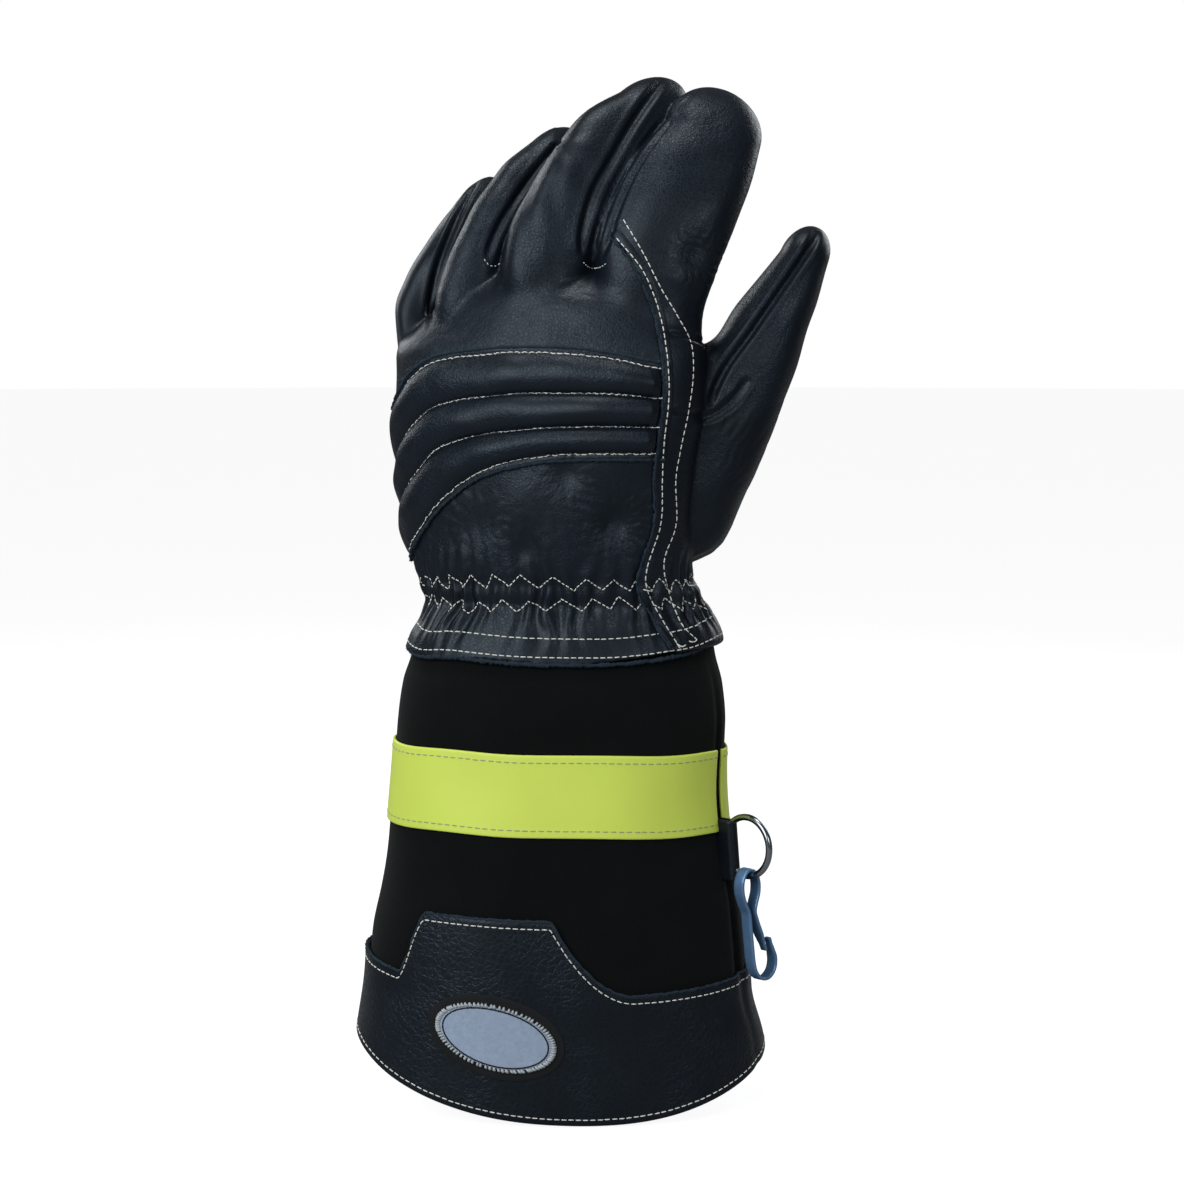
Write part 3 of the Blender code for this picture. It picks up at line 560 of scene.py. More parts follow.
def camera_eye():
    """Where the photograph was taken from."""
    return Vector((14 * MM, -sizes().eye_distance, 0.115))


def lay_seen(tree, line_mm, spacing=0.0006):
    """Lays a line seen from in front on a surface: points and normals."""
    eye = camera_eye()
    found = []
    for x, z in smooth_line(np.asarray(line_mm) * MM, spacing):
        hit, normal, _face, _far = tree.ray_cast(eye, (Vector((x, 0, z)) - eye).normalized())
        if hit is not None:
            found.append((*hit, *normal))
    return np.array(found)


def lay_round(tree, level, angle, spacing=0.0006):
    """Lays a line given by levels and angles on the surface, from outside."""
    far = body(level, angle, 0.02)
    near = body(level, angle, -0.004)
    line = even(np.hstack((far, near)), spacing)
    found = []
    for row in line:
        start, end = Vector(row[:3]), Vector(row[3:])
        hit, normal, _face, _far = tree.ray_cast(start, (end - start).normalized(), 0.03)
        if hit is not None:
            found.append((*hit, *normal))
    return np.array(found)


def ride(obj, slot, *replaced):
    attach(obj, "root")
    if replaced:
        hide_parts(*replaced)
    return obj


# Thread


def sew(name, paths, finish=None, slot="leather", pitch=None, share=0.88, radius=None, raised=0.0):
    """A row of single stitches along each path of points and normals."""
    rng = np.random.default_rng(5)
    pitch, radius = pitch or sizes().pitch, radius or sizes().thread
    stations, sides = 6, 6
    points, faces = [], []
    for path in paths:
        if len(path) < 3:
            continue
        run = np.concatenate(([0], np.cumsum(np.linalg.norm(np.diff(path[:, :3], axis=0), axis=1))))
        count = max(1, int(run[-1] / pitch))
        step = run[-1] / count
        starts = (np.arange(count) + (1 - share) / 2) * step + rng.normal(0, 0.03 * step, count)
        t = np.linspace(0, 1, stations)
        at = starts[:, None] + t * step * share
        place = np.stack([np.interp(at, run, path[:, k]) for k in range(6)], -1)
        up = unit(place[..., 3:])
        rise = raised + radius * (np.sin(math.pi * t) ** 0.6 - 0.75)
        middle = place[..., :3] + up * rise[None, :, None]
        along = np.gradient(middle, axis=1)
        along = unit(along)
        side = np.cross(along, up)
        side = unit(side)
        middle = middle + side * rng.normal(0, 0.12 * radius, (count, 1, 1))
        thick = radius * np.array((0.5, 0.95, 1.0, 1.0, 0.95, 0.5))
        roll = around(sides)
        ring = (
            middle[:, :, None]
            + side[:, :, None] * (thick[:, None] * np.cos(roll))[None, :, :, None]
            + up[:, :, None] * (thick[:, None] * np.sin(roll) * 0.85)[None, :, :, None]
        )
        block = stations * sides
        for stitch in ring.reshape(count, block, 3):
            start = len(points)
            points.extend(stitch.tolist())
            faces += grid_faces(stations, sides, True, start)
            faces.append([start + k for k in range(sides)])
            faces.append([start + block - sides + k for k in range(sides)])
    return ride(mesh_object(name, points, faces, finish or thread_material()), slot)


def tube(name, path, radius, finish, sides=8, closed=False):
    """A round tube along points."""
    path = np.asarray(path, float)
    ahead = np.roll(path, -1, 0) - np.roll(path, 1, 0)
    if not closed:
        ahead[0], ahead[-1] = path[1] - path[0], path[-1] - path[-2]
    ahead = unit(ahead)
    helper = np.array((0.3, -0.9, 0.1))
    side = np.cross(ahead, helper)
    side = unit(side)
    up = np.cross(side, ahead)
    radius = np.broadcast_to(radius, len(path))
    roll = around(sides)
    rings = path[:, None] + radius[:, None, None] * (
        side[:, None] * np.cos(roll)[None, :, None] + up[:, None] * np.sin(roll)[None, :, None]
    )
    count = len(path)
    points = rings.reshape(-1, 3)
    faces = grid_faces(count, sides, True)
    if closed:
        start = (count - 1) * sides
        faces += [(start + j, start + (j + 1) % sides, (j + 1) % sides, j) for j in range(sides)]
    else:
        faces += [list(range(sides)), list(range((count - 1) * sides, count * sides))]
    return mesh_object(name, points, faces, finish)


def fuzz(name, path, normals, count, longest=1.3, seed=3):
    """Short fibres that stand out of a cut edge."""
    rng = np.random.default_rng(seed)
    points, faces = [], []
    for i in rng.integers(0, len(path), count):
        start = path[i] + rng.normal(0, 0.2 * MM, 3)
        aim = normals[i] * rng.uniform(0.2, 1.0) + rng.normal(0, 0.7, 3)
        aim *= rng.uniform(0.4, longest) * MM / np.linalg.norm(aim)
        bend = rng.normal(0, 0.22 * MM, 3)
        fibre = np.array([start + aim * t + bend * t * t for t in (0, 0.4, 0.75, 1)])
        side = np.cross(aim, (0.2, 0.9, 0.3))
        side /= np.linalg.norm(side)
        up = np.cross(side, aim / np.linalg.norm(aim))
        first = len(points)
        for at, thick in zip(fibre, (0.075, 0.06, 0.045, 0.02)):
            for turn in (0, 2.09, 4.19):
                points.append(tuple(at + thick * MM * (side * math.cos(turn) + up * math.sin(turn))))
        faces += grid_faces(4, 3, True, first) + [[first + k, first + k + 1, first + k + 2] for k in (0, 9)]
    return ride(mesh_object(name, points, faces, raw_edge_material()), "leather")


def raw_cord(name, edge, radius, spread, least, most, rng, closed=False):
    """The thick, uneven cord of a frayed cut edge."""
    thick = radius * (1 + spread * rng.normal(0, 1, len(edge))).clip(least, most)
    ride(tube(name, edge, thick, raw_edge_material(), 7, closed), "leather")


# Materials


def new_group(name, inputs, outputs):
    """A shader node group with named float inputs and outputs."""
    tree = bpy.data.node_groups.new(name, "ShaderNodeTree")
    for label, default in inputs.items():
        tree.interface.new_socket(label, in_out="INPUT", socket_type="NodeSocketFloat").default_value = default
    for label in outputs:
        tree.interface.new_socket(label, in_out="OUTPUT", socket_type="NodeSocketFloat")
    return tree, tree.nodes.new("NodeGroupInput"), tree.nodes.new("NodeGroupOutput")


def node(tree, kind, values=None, **properties):
    made = tree.nodes.new("ShaderNode" + kind)
    for key, value in properties.items():
        setattr(made, key, value)
    for key, value in (values or {}).items():
        made.inputs[key].default_value = value
    return made


def maths(tree, operation, first, second, clamp=False):
    made = node(tree, "Math", operation=operation, use_clamp=clamp)
    for slot, value in enumerate((first, second)):
        if isinstance(value, (int, float)):
            made.inputs[slot].default_value = value
        else:
            tree.links.new(value, made.inputs[slot])
    return made.outputs[0]


def texture(tree, kind, values=None, where=None, **properties):
    """A texture node, placed by object coordinates unless told otherwise."""
    made = node(tree, "Tex" + kind, values, **properties)
    tree.links.new(where or node(tree, "TexCoord").outputs["Object"], made.inputs["Vector"])
    return made


def ranged(tree, value, low, high, start=0.0, end=1.0, kind="LINEAR"):
    """A value's stretch from start to end, mapped to a stretch from low to high."""
    limits = {"From Min": start, "From Max": end, "To Min": low, "To Max": high}
    made = node(tree, "MapRange", limits, interpolation_type=kind)
    tree.links.new(value, made.inputs["Value"])
    return made.outputs[0]


def grain_group():
    """Pebbled leather: cells, creases between them, and slow changes in how strong they are."""
    name = "Leather grain"
    if name in bpy.data.node_groups:
        return bpy.data.node_groups[name]
    tree, given, out = new_group(name, {"Cell": 900.0, "Wrinkle": 0.5}, ("Height", "Shade", "Wear"))
    links = tree.links
    warp = texture(tree, "Noise", {"Scale": 260.0, "Detail": 3.0})
    push = node(tree, "VectorMath", operation="SCALE")
    links.new(warp.outputs["Color"], push.inputs[0])
    push.inputs["Scale"].default_value = 0.0011
    moved = node(tree, "VectorMath", operation="ADD")
    links.new(node(tree, "TexCoord").outputs["Object"], moved.inputs[0])
    links.new(push.outputs[0], moved.inputs[1])
    cells = texture(tree, "Voronoi", where=moved.outputs[0], feature="DISTANCE_TO_EDGE")
    links.new(given.outputs["Cell"], cells.inputs["Scale"])
    pebble = ranged(tree, cells.outputs["Distance"], 0.0, 1.0, 0.0, 0.22, "SMOOTHSTEP")
    fine = texture(tree, "Noise", {"Scale": 2600.0, "Detail": 2.0})
    folds = texture(tree, "Noise", {"Scale": 170.0, "Detail": 5.0, "Roughness": 0.62, "Distortion": 0.9})
    ridge = maths(tree, "ABSOLUTE", maths(tree, "SUBTRACT", folds.outputs["Fac"], 0.5), 0.0)
    ridge = maths(tree, "MULTIPLY", ridge, 5.0, clamp=True)
    broad = texture(tree, "Noise", {"Scale": 34.0, "Detail": 3.0})
    strength = ranged(tree, broad.outputs["Fac"], 0.15, 1.0, 0.40, 0.66)
    height = maths(tree, "MULTIPLY", maths(tree, "MULTIPLY", pebble, strength), 0.55)
    height = maths(tree, "ADD", height, maths(tree, "MULTIPLY", fine.outputs["Fac"], 0.06))
    wrinkle = maths(tree, "MULTIPLY", maths(tree, "MULTIPLY", ridge, given.outputs["Wrinkle"]), strength)
    links.new(maths(tree, "ADD", height, wrinkle), out.inputs["Height"])
    links.new(ranged(tree, broad.outputs["Fac"], 0.0, 1.0, 0.3, 0.75), out.inputs["Shade"])
    links.new(pebble, out.inputs["Wear"])
    return tree


def fibre_group():
    """Short fibres, for suede nap, raw edges and cloth: height and shade from fine and broad noise."""
    name = "Fibres"
    if name in bpy.data.node_groups:
        return bpy.data.node_groups[name]
    tree, given, out = new_group(name, {"Fine": 2200.0, "Patch": 40.0}, ("Height", "Shade"))
    links = tree.links
    fine = texture(tree, "Noise", {"Detail": 4.0, "Roughness": 0.7})
    patch = texture(tree, "Noise", {"Detail": 4.0, "Distortion": 0.6})
    for made, socket in ((fine, "Fine"), (patch, "Patch")):
        links.new(given.outputs[socket], made.inputs["Scale"])
    links.new(fine.outputs["Fac"], out.inputs["Height"])
    small = maths(tree, "MULTIPLY", fine.outputs["Fac"], 0.5)
    both = maths(tree, "ADD", small, maths(tree, "MULTIPLY", patch.outputs["Fac"], 0.9))
    links.new(maths(tree, "SUBTRACT", both, 0.2, clamp=True), out.inputs["Shade"])
    return tree


def tinted(colour, factor):
    return tuple(min(1.0, c * factor) for c in colour)


def patterned(name, group, values, colour, tones, relief, roughness, constants=None):
    """A Principled material whose two tones and relief in millimetres come from a node group."""
    made = bpy.data.materials.new(name)
    made.use_nodes = True
    tree = made.node_tree
    shader = tree.nodes["Principled BSDF"]
    for key, value in {"Roughness": roughness, **(constants or {})}.items():
        shader.inputs[key].default_value = value
    pattern = node(tree, "Group", values, node_tree=group)
    mix = node(tree, "Mix", data_type="RGBA")
    tree.links.new(pattern.outputs["Shade"], mix.inputs["Factor"])
    for socket, tone in zip("AB", tones):
        mix.inputs[socket].default_value = (*tinted(colour, tone), 1)
    tree.links.new(mix.outputs["Result"], shader.inputs["Base Color"])
    bump = node(tree, "Bump", {"Strength": relief[0], "Distance": relief[1] * MM})
    tree.links.new(pattern.outputs["Height"], bump.inputs["Height"])
    tree.links.new(bump.outputs["Normal"], shader.inputs["Normal"])
    return made, tree, shader, pattern


def leather_material(name="Navy full grain leather", cell=700.0, wrinkle=1.2, bump_mm=0.12, shade=1.0):
    if name in bpy.data.materials:
        return bpy.data.materials[name]
    values, tones = {"Cell": cell, "Wrinkle": wrinkle}, (0.75 * shade, 1.35 * shade)
    gloss = {"Specular IOR Level": 0.36, "IOR": 1.46, "Specular Tint": (0.78, 0.90, 1.0, 1.0)}
    made, tree, shader, grain = patterned(
        name, grain_group(), values, colours().leather, tones, (0.9, bump_mm), 0.42, gloss
    )
    tree.links.new(ranged(tree, grain.outputs["Wear"], 0.46, 0.34), shader.inputs["Roughness"])
    return made


def fibre_material(name, colour, fine, patch, spread, bump_mm, roughness=0.95, constants=None):
    if name in bpy.data.materials:
        return bpy.data.materials[name]
    values, tones = {"Fine": fine, "Patch": patch}, (1 - spread, 1 + spread)
    return patterned(name, fibre_group(), values, colour, tones, (0.7, bump_mm), roughness, constants)[0]


def suede_material():
    nap = {"Specular IOR Level": 0.15, "Sheen Weight": 0.03, "Sheen Roughness": 0.6}
    return fibre_material("Black suede", colours().suede, 1500.0, 55.0, 0.55, 0.25, 1.0, nap)


def raw_edge_material():
    dull = {"Specular IOR Level": 0.2}
    return fibre_material("Raw leather edge", colours().raw_edge, 2400.0, 400.0, 0.5, 0.3, 0.95, dull)


def thread_material():
    dull = {"Specular IOR Level": 0.3}
    return fibre_material("Pale sewing thread", colours().thread, 5000.0, 900.0, 0.22, 0.06, 0.7, dull)


def tape_material():
    satin = {"Specular IOR Level": 0.35}
    return fibre_material("Fluorescent tape", colours().tape, 900.0, 30.0, 0.05, 0.02, 0.42, satin)


def lining_material():
    return fibre_material("Dark lining", (0.012, 0.013, 0.016), 1800.0, 120.0, 0.4, 0.2, 0.95)


def steel_material(name, colour, roughness, metallic=1.0):
    if name in bpy.data.materials:
        return bpy.data.materials[name]
    values, tones = {"Fine": 700.0, "Patch": 160.0}, (0.85, 1.2)
    made, tree, shader, fibres = patterned(
        name, fibre_group(), values, colour, tones, (0.15, 0.03), roughness, {"Metallic": metallic}
    )
    rough = ranged(tree, fibres.outputs["Shade"], roughness * 0.7, roughness * 1.5)
    tree.links.new(rough, shader.inputs["Roughness"])
    return made


# The hand


def near_line(points, line, reach):
    """Points within reach of a line: their indices, distances and shares along it."""
    low, high = line.min(0) - reach, line.max(0) + reach
    index = np.nonzero(np.all((points > low) & (points < high), axis=1))[0]
    near = points[index]
    best, along = np.full(len(index), np.inf), np.zeros(len(index))
    for k, (a, b) in enumerate(zip(line[:-1], line[1:])):
        ab = b - a
        t = np.clip((near - a) @ ab / (ab @ ab), 0, 1)
        far = np.linalg.norm(near - a - t[:, None] * ab, axis=1)
        closer = far < best
        best[closer], along[closer] = far[closer], (k + t[closer]) / (len(line) - 1)
    keep = best < reach
    return index[keep], best[keep], along[keep]


def press_groove(co, normals, line, depth, width, shoulder=0.25):
    """Presses a seam's groove in along a line, with soft shoulders and fading ends."""
    index, far, along = near_line(co, line, width * 4)
    fade = np.clip(np.minimum(along, 1 - along) * 10, 0, 1) ** 0.7
    profile = -np.exp(-((far / width) ** 2)) + shoulder * np.exp(-(((far - 2.1 * width) / (0.9 * width)) ** 2))
    co[index] += normals[index] * (depth * profile * fade)[:, None]


def wrist_gathers(co):
    """Outward moves of the puckered wrist: folds along the hand, pinched under the two rows."""
    level = co[:, 2]
    angle = np.arctan2(co[:, 0] - 3 * MM, -co[:, 1] * 1.9)
    near = np.exp(-(((level - 3 * MM) / (13 * MM)) ** 2))
    strength = 0.6 + 0.4 * waves(angle * 30, level * 300, 20, 8)
    folds = np.sin(angle * 46 + 1.5 * waves(angle * 40, level * 900, 14, 3)) * strength
    upper, lower = ((level - row * MM) / (2.6 * MM) for row in (8.5, 0.5))
    pinch = -np.exp(-(upper**2)) - np.exp(-(lower**2))
    return sizes().gather * near * (folds + 0.55 * pinch)


def hand_mesh():
    """The fingers, thumb and hand as one skin, smoothed where they join."""
    finish = leather_material()
    top_level = HAND_SECTIONS[-1][0] * HAND_LENGTH
    low, high = np.linspace(-SKIRT_DROP + 0.002, 0.098, 46), np.linspace(0.100, top_level, 14)
    levels = np.concatenate(([-SKIRT_DROP], low, high))
    turns = around(120)
    rings = body(levels[:, None], turns[None, :], GAP + LEATHER)
    top = rings[-1].mean(0) + np.array((0, 0, 0.002))
    parts = [loft("hand_leather", rings, top, finish)]
    for name in FINGER_SECTIONS:
        rings, tip = finger_rings(name)
        parts.append(loft(name, rings, tip, finish))
    with bpy.context.temp_override(active_object=parts[0], selected_editable_objects=parts):
        bpy.ops.object.join()
    hand = parts[0]
    remesh = hand.modifiers.new("remesh", "REMESH")
    remesh.mode, remesh.voxel_size, remesh.use_smooth_shade = "VOXEL", sizes().grid, True
    co = coordinates(apply_modifiers(hand))
    crotch_x, crotch_z = np.array(CROTCH_LEVELS).T * MM
    crotch = np.interp(co[:, 0], crotch_x, crotch_z)
    weight = np.clip((crotch - co[:, 2]) / (6 * MM), 0, 1) * np.clip((co[:, 2] - 70 * MM) / (15 * MM), 0, 1)
    weight *= np.clip((35 * MM - co[:, 1]) / (10 * MM), 0, 1)
    knuckles = hand.vertex_groups.new(name="knuckles")
    for step in range(1, 11):
        knuckles.add(np.nonzero(np.round(weight * 10) == step)[0].tolist(), step / 10, "REPLACE")
    for name, count, group in (("all", 7, ""), ("knuckles", 120, "knuckles")):
        smooth = hand.modifiers.new(name, "SMOOTH")
        smooth.factor, smooth.iterations, smooth.vertex_group = 0.5, count, group
    apply_modifiers(hand)
    return hand


def seen_from_front(co):
    """Where points are seen from in front, in millimetres."""
    eye = np.array(camera_eye())
    share = -eye[1] / (co[:, 1] - eye[1])
    return (eye[[0, 2]] + (co[:, [0, 2]] - eye[[0, 2]]) * share[:, None]) / MM


def ease(value, low, high):
    share = np.clip((value - low) / (high - low), 0, 1)
    return share * share * (3 - 2 * share)


def palm_rise(seen):
    """How far the palm leather's overlap lifts the skin to the right of the strip's edge."""
    edge = np.array(sorted((z, x) for x, z in STRIP_EDGE))
    across = seen[:, 0] - np.interp(seen[:, 1], edge[:, 0], edge[:, 1])
    return 1.1 * ease(across, 1.0, 3.0) * (1 - ease(across, 14, 40)) * (1 - ease(seen[:, 1], 136, 150))


def wrinkles(seen):
    """Inward moves, in millimetres, of the wrinkled patches."""
    total = np.zeros(len(seen))
    for x, z, wide, high, degrees, wave, depth, seed in WRINKLES:
        dx, dz = seen[:, 0] - x, seen[:, 1] - z
        turn = math.radians(degrees)
        along = dx * math.cos(turn) + dz * math.sin(turn)
        across = -dx * math.sin(turn) + dz * math.cos(turn)
        fade = np.exp(-((along / wide) ** 2) - (across / high) ** 2)
        warp = waves(along, across * 0.6, 5 * wave, seed)
        ridge = 1 - np.abs(np.sin(math.pi * (across / wave + 0.55 * warp)))
        patches = 0.55 + 0.45 * waves(along, across, 4 * wave, seed + 1)
        total += WRINKLE_DEPTH * depth * fade * patches * ridge**1.6
    for x, z, radius, depth, rays, seed in DENTS:
        dx, dz = seen[:, 0] - x, seen[:, 1] - z
        far = np.hypot(dx, dz) / radius
        turn = np.arctan2(dz, dx)
        ridge = 1 - np.abs(np.sin(rays / 2 * turn + 1.2 * waves(dx, dz, radius, seed)))
        rays = DENT_RAYS * ridge * far**2 * np.exp(-(far**2) * 0.55)
        total += depth * (np.exp(-(far**2)) + rays)
    return total


def open_bottom(mesh):
    """Takes the closed bottom away inside the skirt, where the cuff goes in."""
    build = bmesh.new()
    build.from_mesh(mesh)
    inside = []
    for face in build.faces:
        centre = face.calc_center_median()
        if centre.z < -SKIRT_DROP + 0.0016 and face.normal.z < -0.6:
            left, right, back, palm, turn, _tilt = curve_at(BODY, centre.z)
            across = (centre.x - (left + right) / 2) / ((right - left) / 2 - 0.0006)
            deep = (centre.y + turn * centre.x) / (back - 0.0006)
            if abs(across) ** SQUARENESS + abs(deep) ** SQUARENESS < 1:
                inside.append(face)
    bmesh.ops.delete(build, geom=inside, context="FACES")
    build.to_mesh(mesh)
    build.free()


class GLOVE_OT_leather_hand(bpy.types.Operator):
    """Build the leather of the hand, fingers and thumb, with its seams, creases and gathers"""

    bl_idname = "glove.leather_hand"
    bl_label = "Leather hand"

    def execute(self, context):
        hand = hand_mesh()
        mesh = hand.data
        tree = shape_of(hand)
        co, normals = coordinates(mesh), normals_of(mesh)
        side = np.arctan2(co[:, 0], -co[:, 1]) * 0.05
        above_skirt = np.clip((co[:, 2] + 0.02) / 0.03, 0, 1)
        co += normals * (0.35 * MM * waves(side, co[:, 2], 0.028, 11) * above_skirt)[:, None]
        for depth, width, line in SEAM_GROOVES:
            laid = lay_seen(tree, line, 0.0015)[:, :3]
            press_groove(co, normals, laid, depth * MM, width * MM)
        front = ease(-normals[:, 1], -0.35, 0.1)
        seen = seen_from_front(co)
        co += normals * (wrist_gathers(co) + front * MM * (palm_rise(seen) - wrinkles(seen)))[:, None]
        set_coordinates(mesh, co)
        open_bottom(mesh)
        co = coordinates(mesh)
        low = co[:, 2] < 0
        co[low, 2] *= skirt_level(np.arctan2(co[low, 0], -co[low, 1])) / -SKIRT_DROP
        set_coordinates(mesh, co)
        lighter = hand.modifiers.new("lighter", "DECIMATE")
        lighter.ratio = LEATHER_FACES_KEPT
        apply_modifiers(hand)
        fingers = ("little_finger", "ring_finger", "middle_finger", "index_finger", "thumb")
        ride(hand, "leather", *fingers, "back_panel", "palm_panel")
        levels = np.linspace(-0.009, 0.085, 24)
        turns = around(64)
        outer = body(levels[:, None], turns[None, :], -0.0026)
        inner = body(levels[:, None], turns[None, :], -0.0034)
        outer = np.concatenate((outer, outer[-1:] * 0.3 + outer[-1].mean(0) * 0.7 + np.array((0, 0, 0.004))))
        inner = np.concatenate((inner, inner[-1:] * 0.3 + inner[-1].mean(0) * 0.7 + np.array((0, 0, 0.003))))
        ride(wall("hand_lining", outer, inner, True, lining_material()), "leather")
        return {"FINISHED"}


def skirt_level(angle):
    """Where the leather's hem ends over the suede."""
    turn = np.degrees(np.arctan2(np.sin(angle), np.cos(angle)))
    return curve_at(SKIRT_EDGE, turn)[..., 0] * MM


def hand_tree():
    return shape_of(bpy.data.objects["hand_leather"])


class GLOVE_OT_palm_strip(bpy.types.Operator):
    """Lay the palm leather's stitched strip, with its raw edge, over the back of the hand"""

    bl_idname = "glove.palm_strip"
    bl_label = "Stitched strip"

    def execute(self, context):
        tree = hand_tree()
        eye = camera_eye()
        line = smooth_line(STRIP_EDGE, 0.9)
        ahead = np.gradient(line, axis=0)
        ahead = unit(ahead)
        right = np.stack((-ahead[:, 1], ahead[:, 0]), 1)
        reach = np.array((0, 0.12, 0.5, 1.2, 2.0, 3.0, 4.0, 5.0))
        heights = np.array((0.35, 0.95, 1.2, 1.2, 0.8, 0.22, 0.06, -0.3))
        outer = np.zeros((len(line), len(reach), 3))
        inner = np.zeros_like(outer)
        for i in range(len(line)):
            for j, across in enumerate(reach):
                x, z = (line[i] + right[i] * across) * MM
                aim = (Vector((x, 0, z)) - eye).normalized()
                hit, normal, _face, _far = tree.ray_cast(eye, aim)
                outer[i, j] = hit + normal * (heights[j] * MM)
                inner[i, j] = hit - normal * (0.9 * MM)
        strip = wall("palm_strip", outer, inner, False, leather_material())
        ride(strip, "leather")
        rng = np.random.default_rng(4)
        edge = outer[:, 1].copy()
        edge += rng.normal(0, 0.10 * MM, edge.shape)
        raw_cord("strip_raw_edge", edge - (outer[:, 2] - outer[:, 1]) * 0.5, 0.00055, 0.3, 0.5, 1.6, rng)
        away = outer[:, 1] - outer[:, 3]
        away = unit(away)
        fuzz("strip_fuzz", edge, away + np.array((0, -0.4, 0)), 420)
        tuft = np.argmin(np.abs(line[:, 1] - TUFT_LEVEL))
        tuft_path = edge[max(tuft - 1, 0): tuft + 2]
        aims = (away + np.array((0, -0.3, 0.3)))[: len(tuft_path)]
        fuzz("strip_tuft", tuft_path, aims, 70, 3.2, 8)
        strip_tree = shape_of(bpy.data.objects["hand_leather"], strip)
        lines = [lay_seen(strip_tree, line) for line in (STRIP_OUTER_STITCH, STRIP_INNER_STITCH)]
        sew("strip_stitches", lines)
        return {"FINISHED"}


class GLOVE_OT_knuckle_guard(bpy.types.Operator):
    """Build the guard with its three padded ribs, raw lips and four stitched grooves"""

    bl_idname = "glove.knuckle_guard"
    bl_label = "Knuckle guard"

    def execute(self, context):
        tree = hand_tree()
        columns, per_rib, lip = 190, 26, 2.6
        angles = np.linspace(GUARD_LINES[0][0], GUARD_LINES[-1][0], columns)
        lines = curve_at(GUARD_LINES, angles)
        down, depth = [], []
        for k in (0.0, 0.12, 0.4, 0.75):
            down.append(lines[:, 0] + lip * (1 - k))
            depth.append(GUARD_LIP if k else GUARD_EDGE)
        for rib in range(3):
            for k in range(per_rib):
                share = k / per_rib
                down.append(lines[:, rib] + (lines[:, rib + 1] - lines[:, rib]) * share)
                depth.append(GUARD_EDGE + RIB_RISE * abs(math.sin(math.pi * share)) ** RIB_ROUNDNESS)
        for k in (0.0, 0.25, 0.6, 0.88, 1.0):
            down.append(lines[:, 3] - lip * k)
            depth.append(GUARD_EDGE if k in (0, 1) else GUARD_LIP)
        level = np.array(down) * MM
        rise = np.array(depth)[:, None] * MM * np.ones(columns)
        turn = np.radians(angles)[None, :] * np.ones_like(level)
        side_fade = np.clip((turn - math.radians(-90)) / math.radians(24), 0, 1) ** 0.6
        padded = rise > 1.3 * MM
        lip_rise = GUARD_LIP * MM
        rise = np.where(padded, lip_rise + (rise - lip_rise) * (0.35 + 0.65 * side_fade), rise)
        rise += np.where(padded, 0.22 * MM * waves(turn * 0.05, level, 0.016, 21), 0)
        outer = np.zeros((*level.shape, 3))
        inner = np.zeros_like(outer)
        seen = seen_from_front(body(level, turn, 0.004).reshape(-1, 3))
        edge = np.array(sorted((z, x) for x, z in STRIP_EDGE))
        under = (np.interp(seen[:, 1], edge[:, 0], edge[:, 1]) - seen[:, 0]).reshape(level.shape)
        rise = 0.5 * MM + (rise - 0.5 * MM) * np.clip(under / 5, 0, 1) ** 0.5
        far, near = body(level, turn, 0.02), body(level, turn, -0.002)
        for i in range(level.shape[0]):
            for j in range(columns):
                start, end = Vector(far[i, j]), Vector(near[i, j])
                aim = (end - start).normalized()
                hit, _normal, _face, _far = tree.ray_cast(start, aim, 0.03)
                hit = hit or end
                outer[i, j] = hit - aim * float(rise[i, j])
                inner[i, j] = hit + aim * 0.0006
        guard = wall("guard_leather", outer, inner, False, leather_material("Guard leather", 650.0, 1.2, 0.12))
        ride(guard, "leather", "knuckle_guard")
        rng = np.random.default_rng(9)
        for name, row in (("guard_raw_edge_top", 1), ("guard_raw_edge_low", -2)):
            edge = outer[row] + rng.normal(0, 0.08 * MM, outer[row].shape)
            raw_cord(name, edge, 0.0006, 0.25, 0.5, 1.5, rng)
            away = outer[row] - outer[row + (2 if row > 0 else -2)]
            away = unit(away)
            fuzz(name.replace("raw_edge", "fuzz"), edge, away + np.array((0, -0.5, 0)), 420, 1.2)
        guard_tree = shape_of(guard)
        sewn = angles < GUARD_LINES[0][0] - 1.5
        paths = [lay_round(guard_tree, lines[sewn, k] * MM, np.radians(angles[sewn])) for k in range(4)]
        sew("guard_stitches", paths, raised=0.0003)
        return {"FINISHED"}


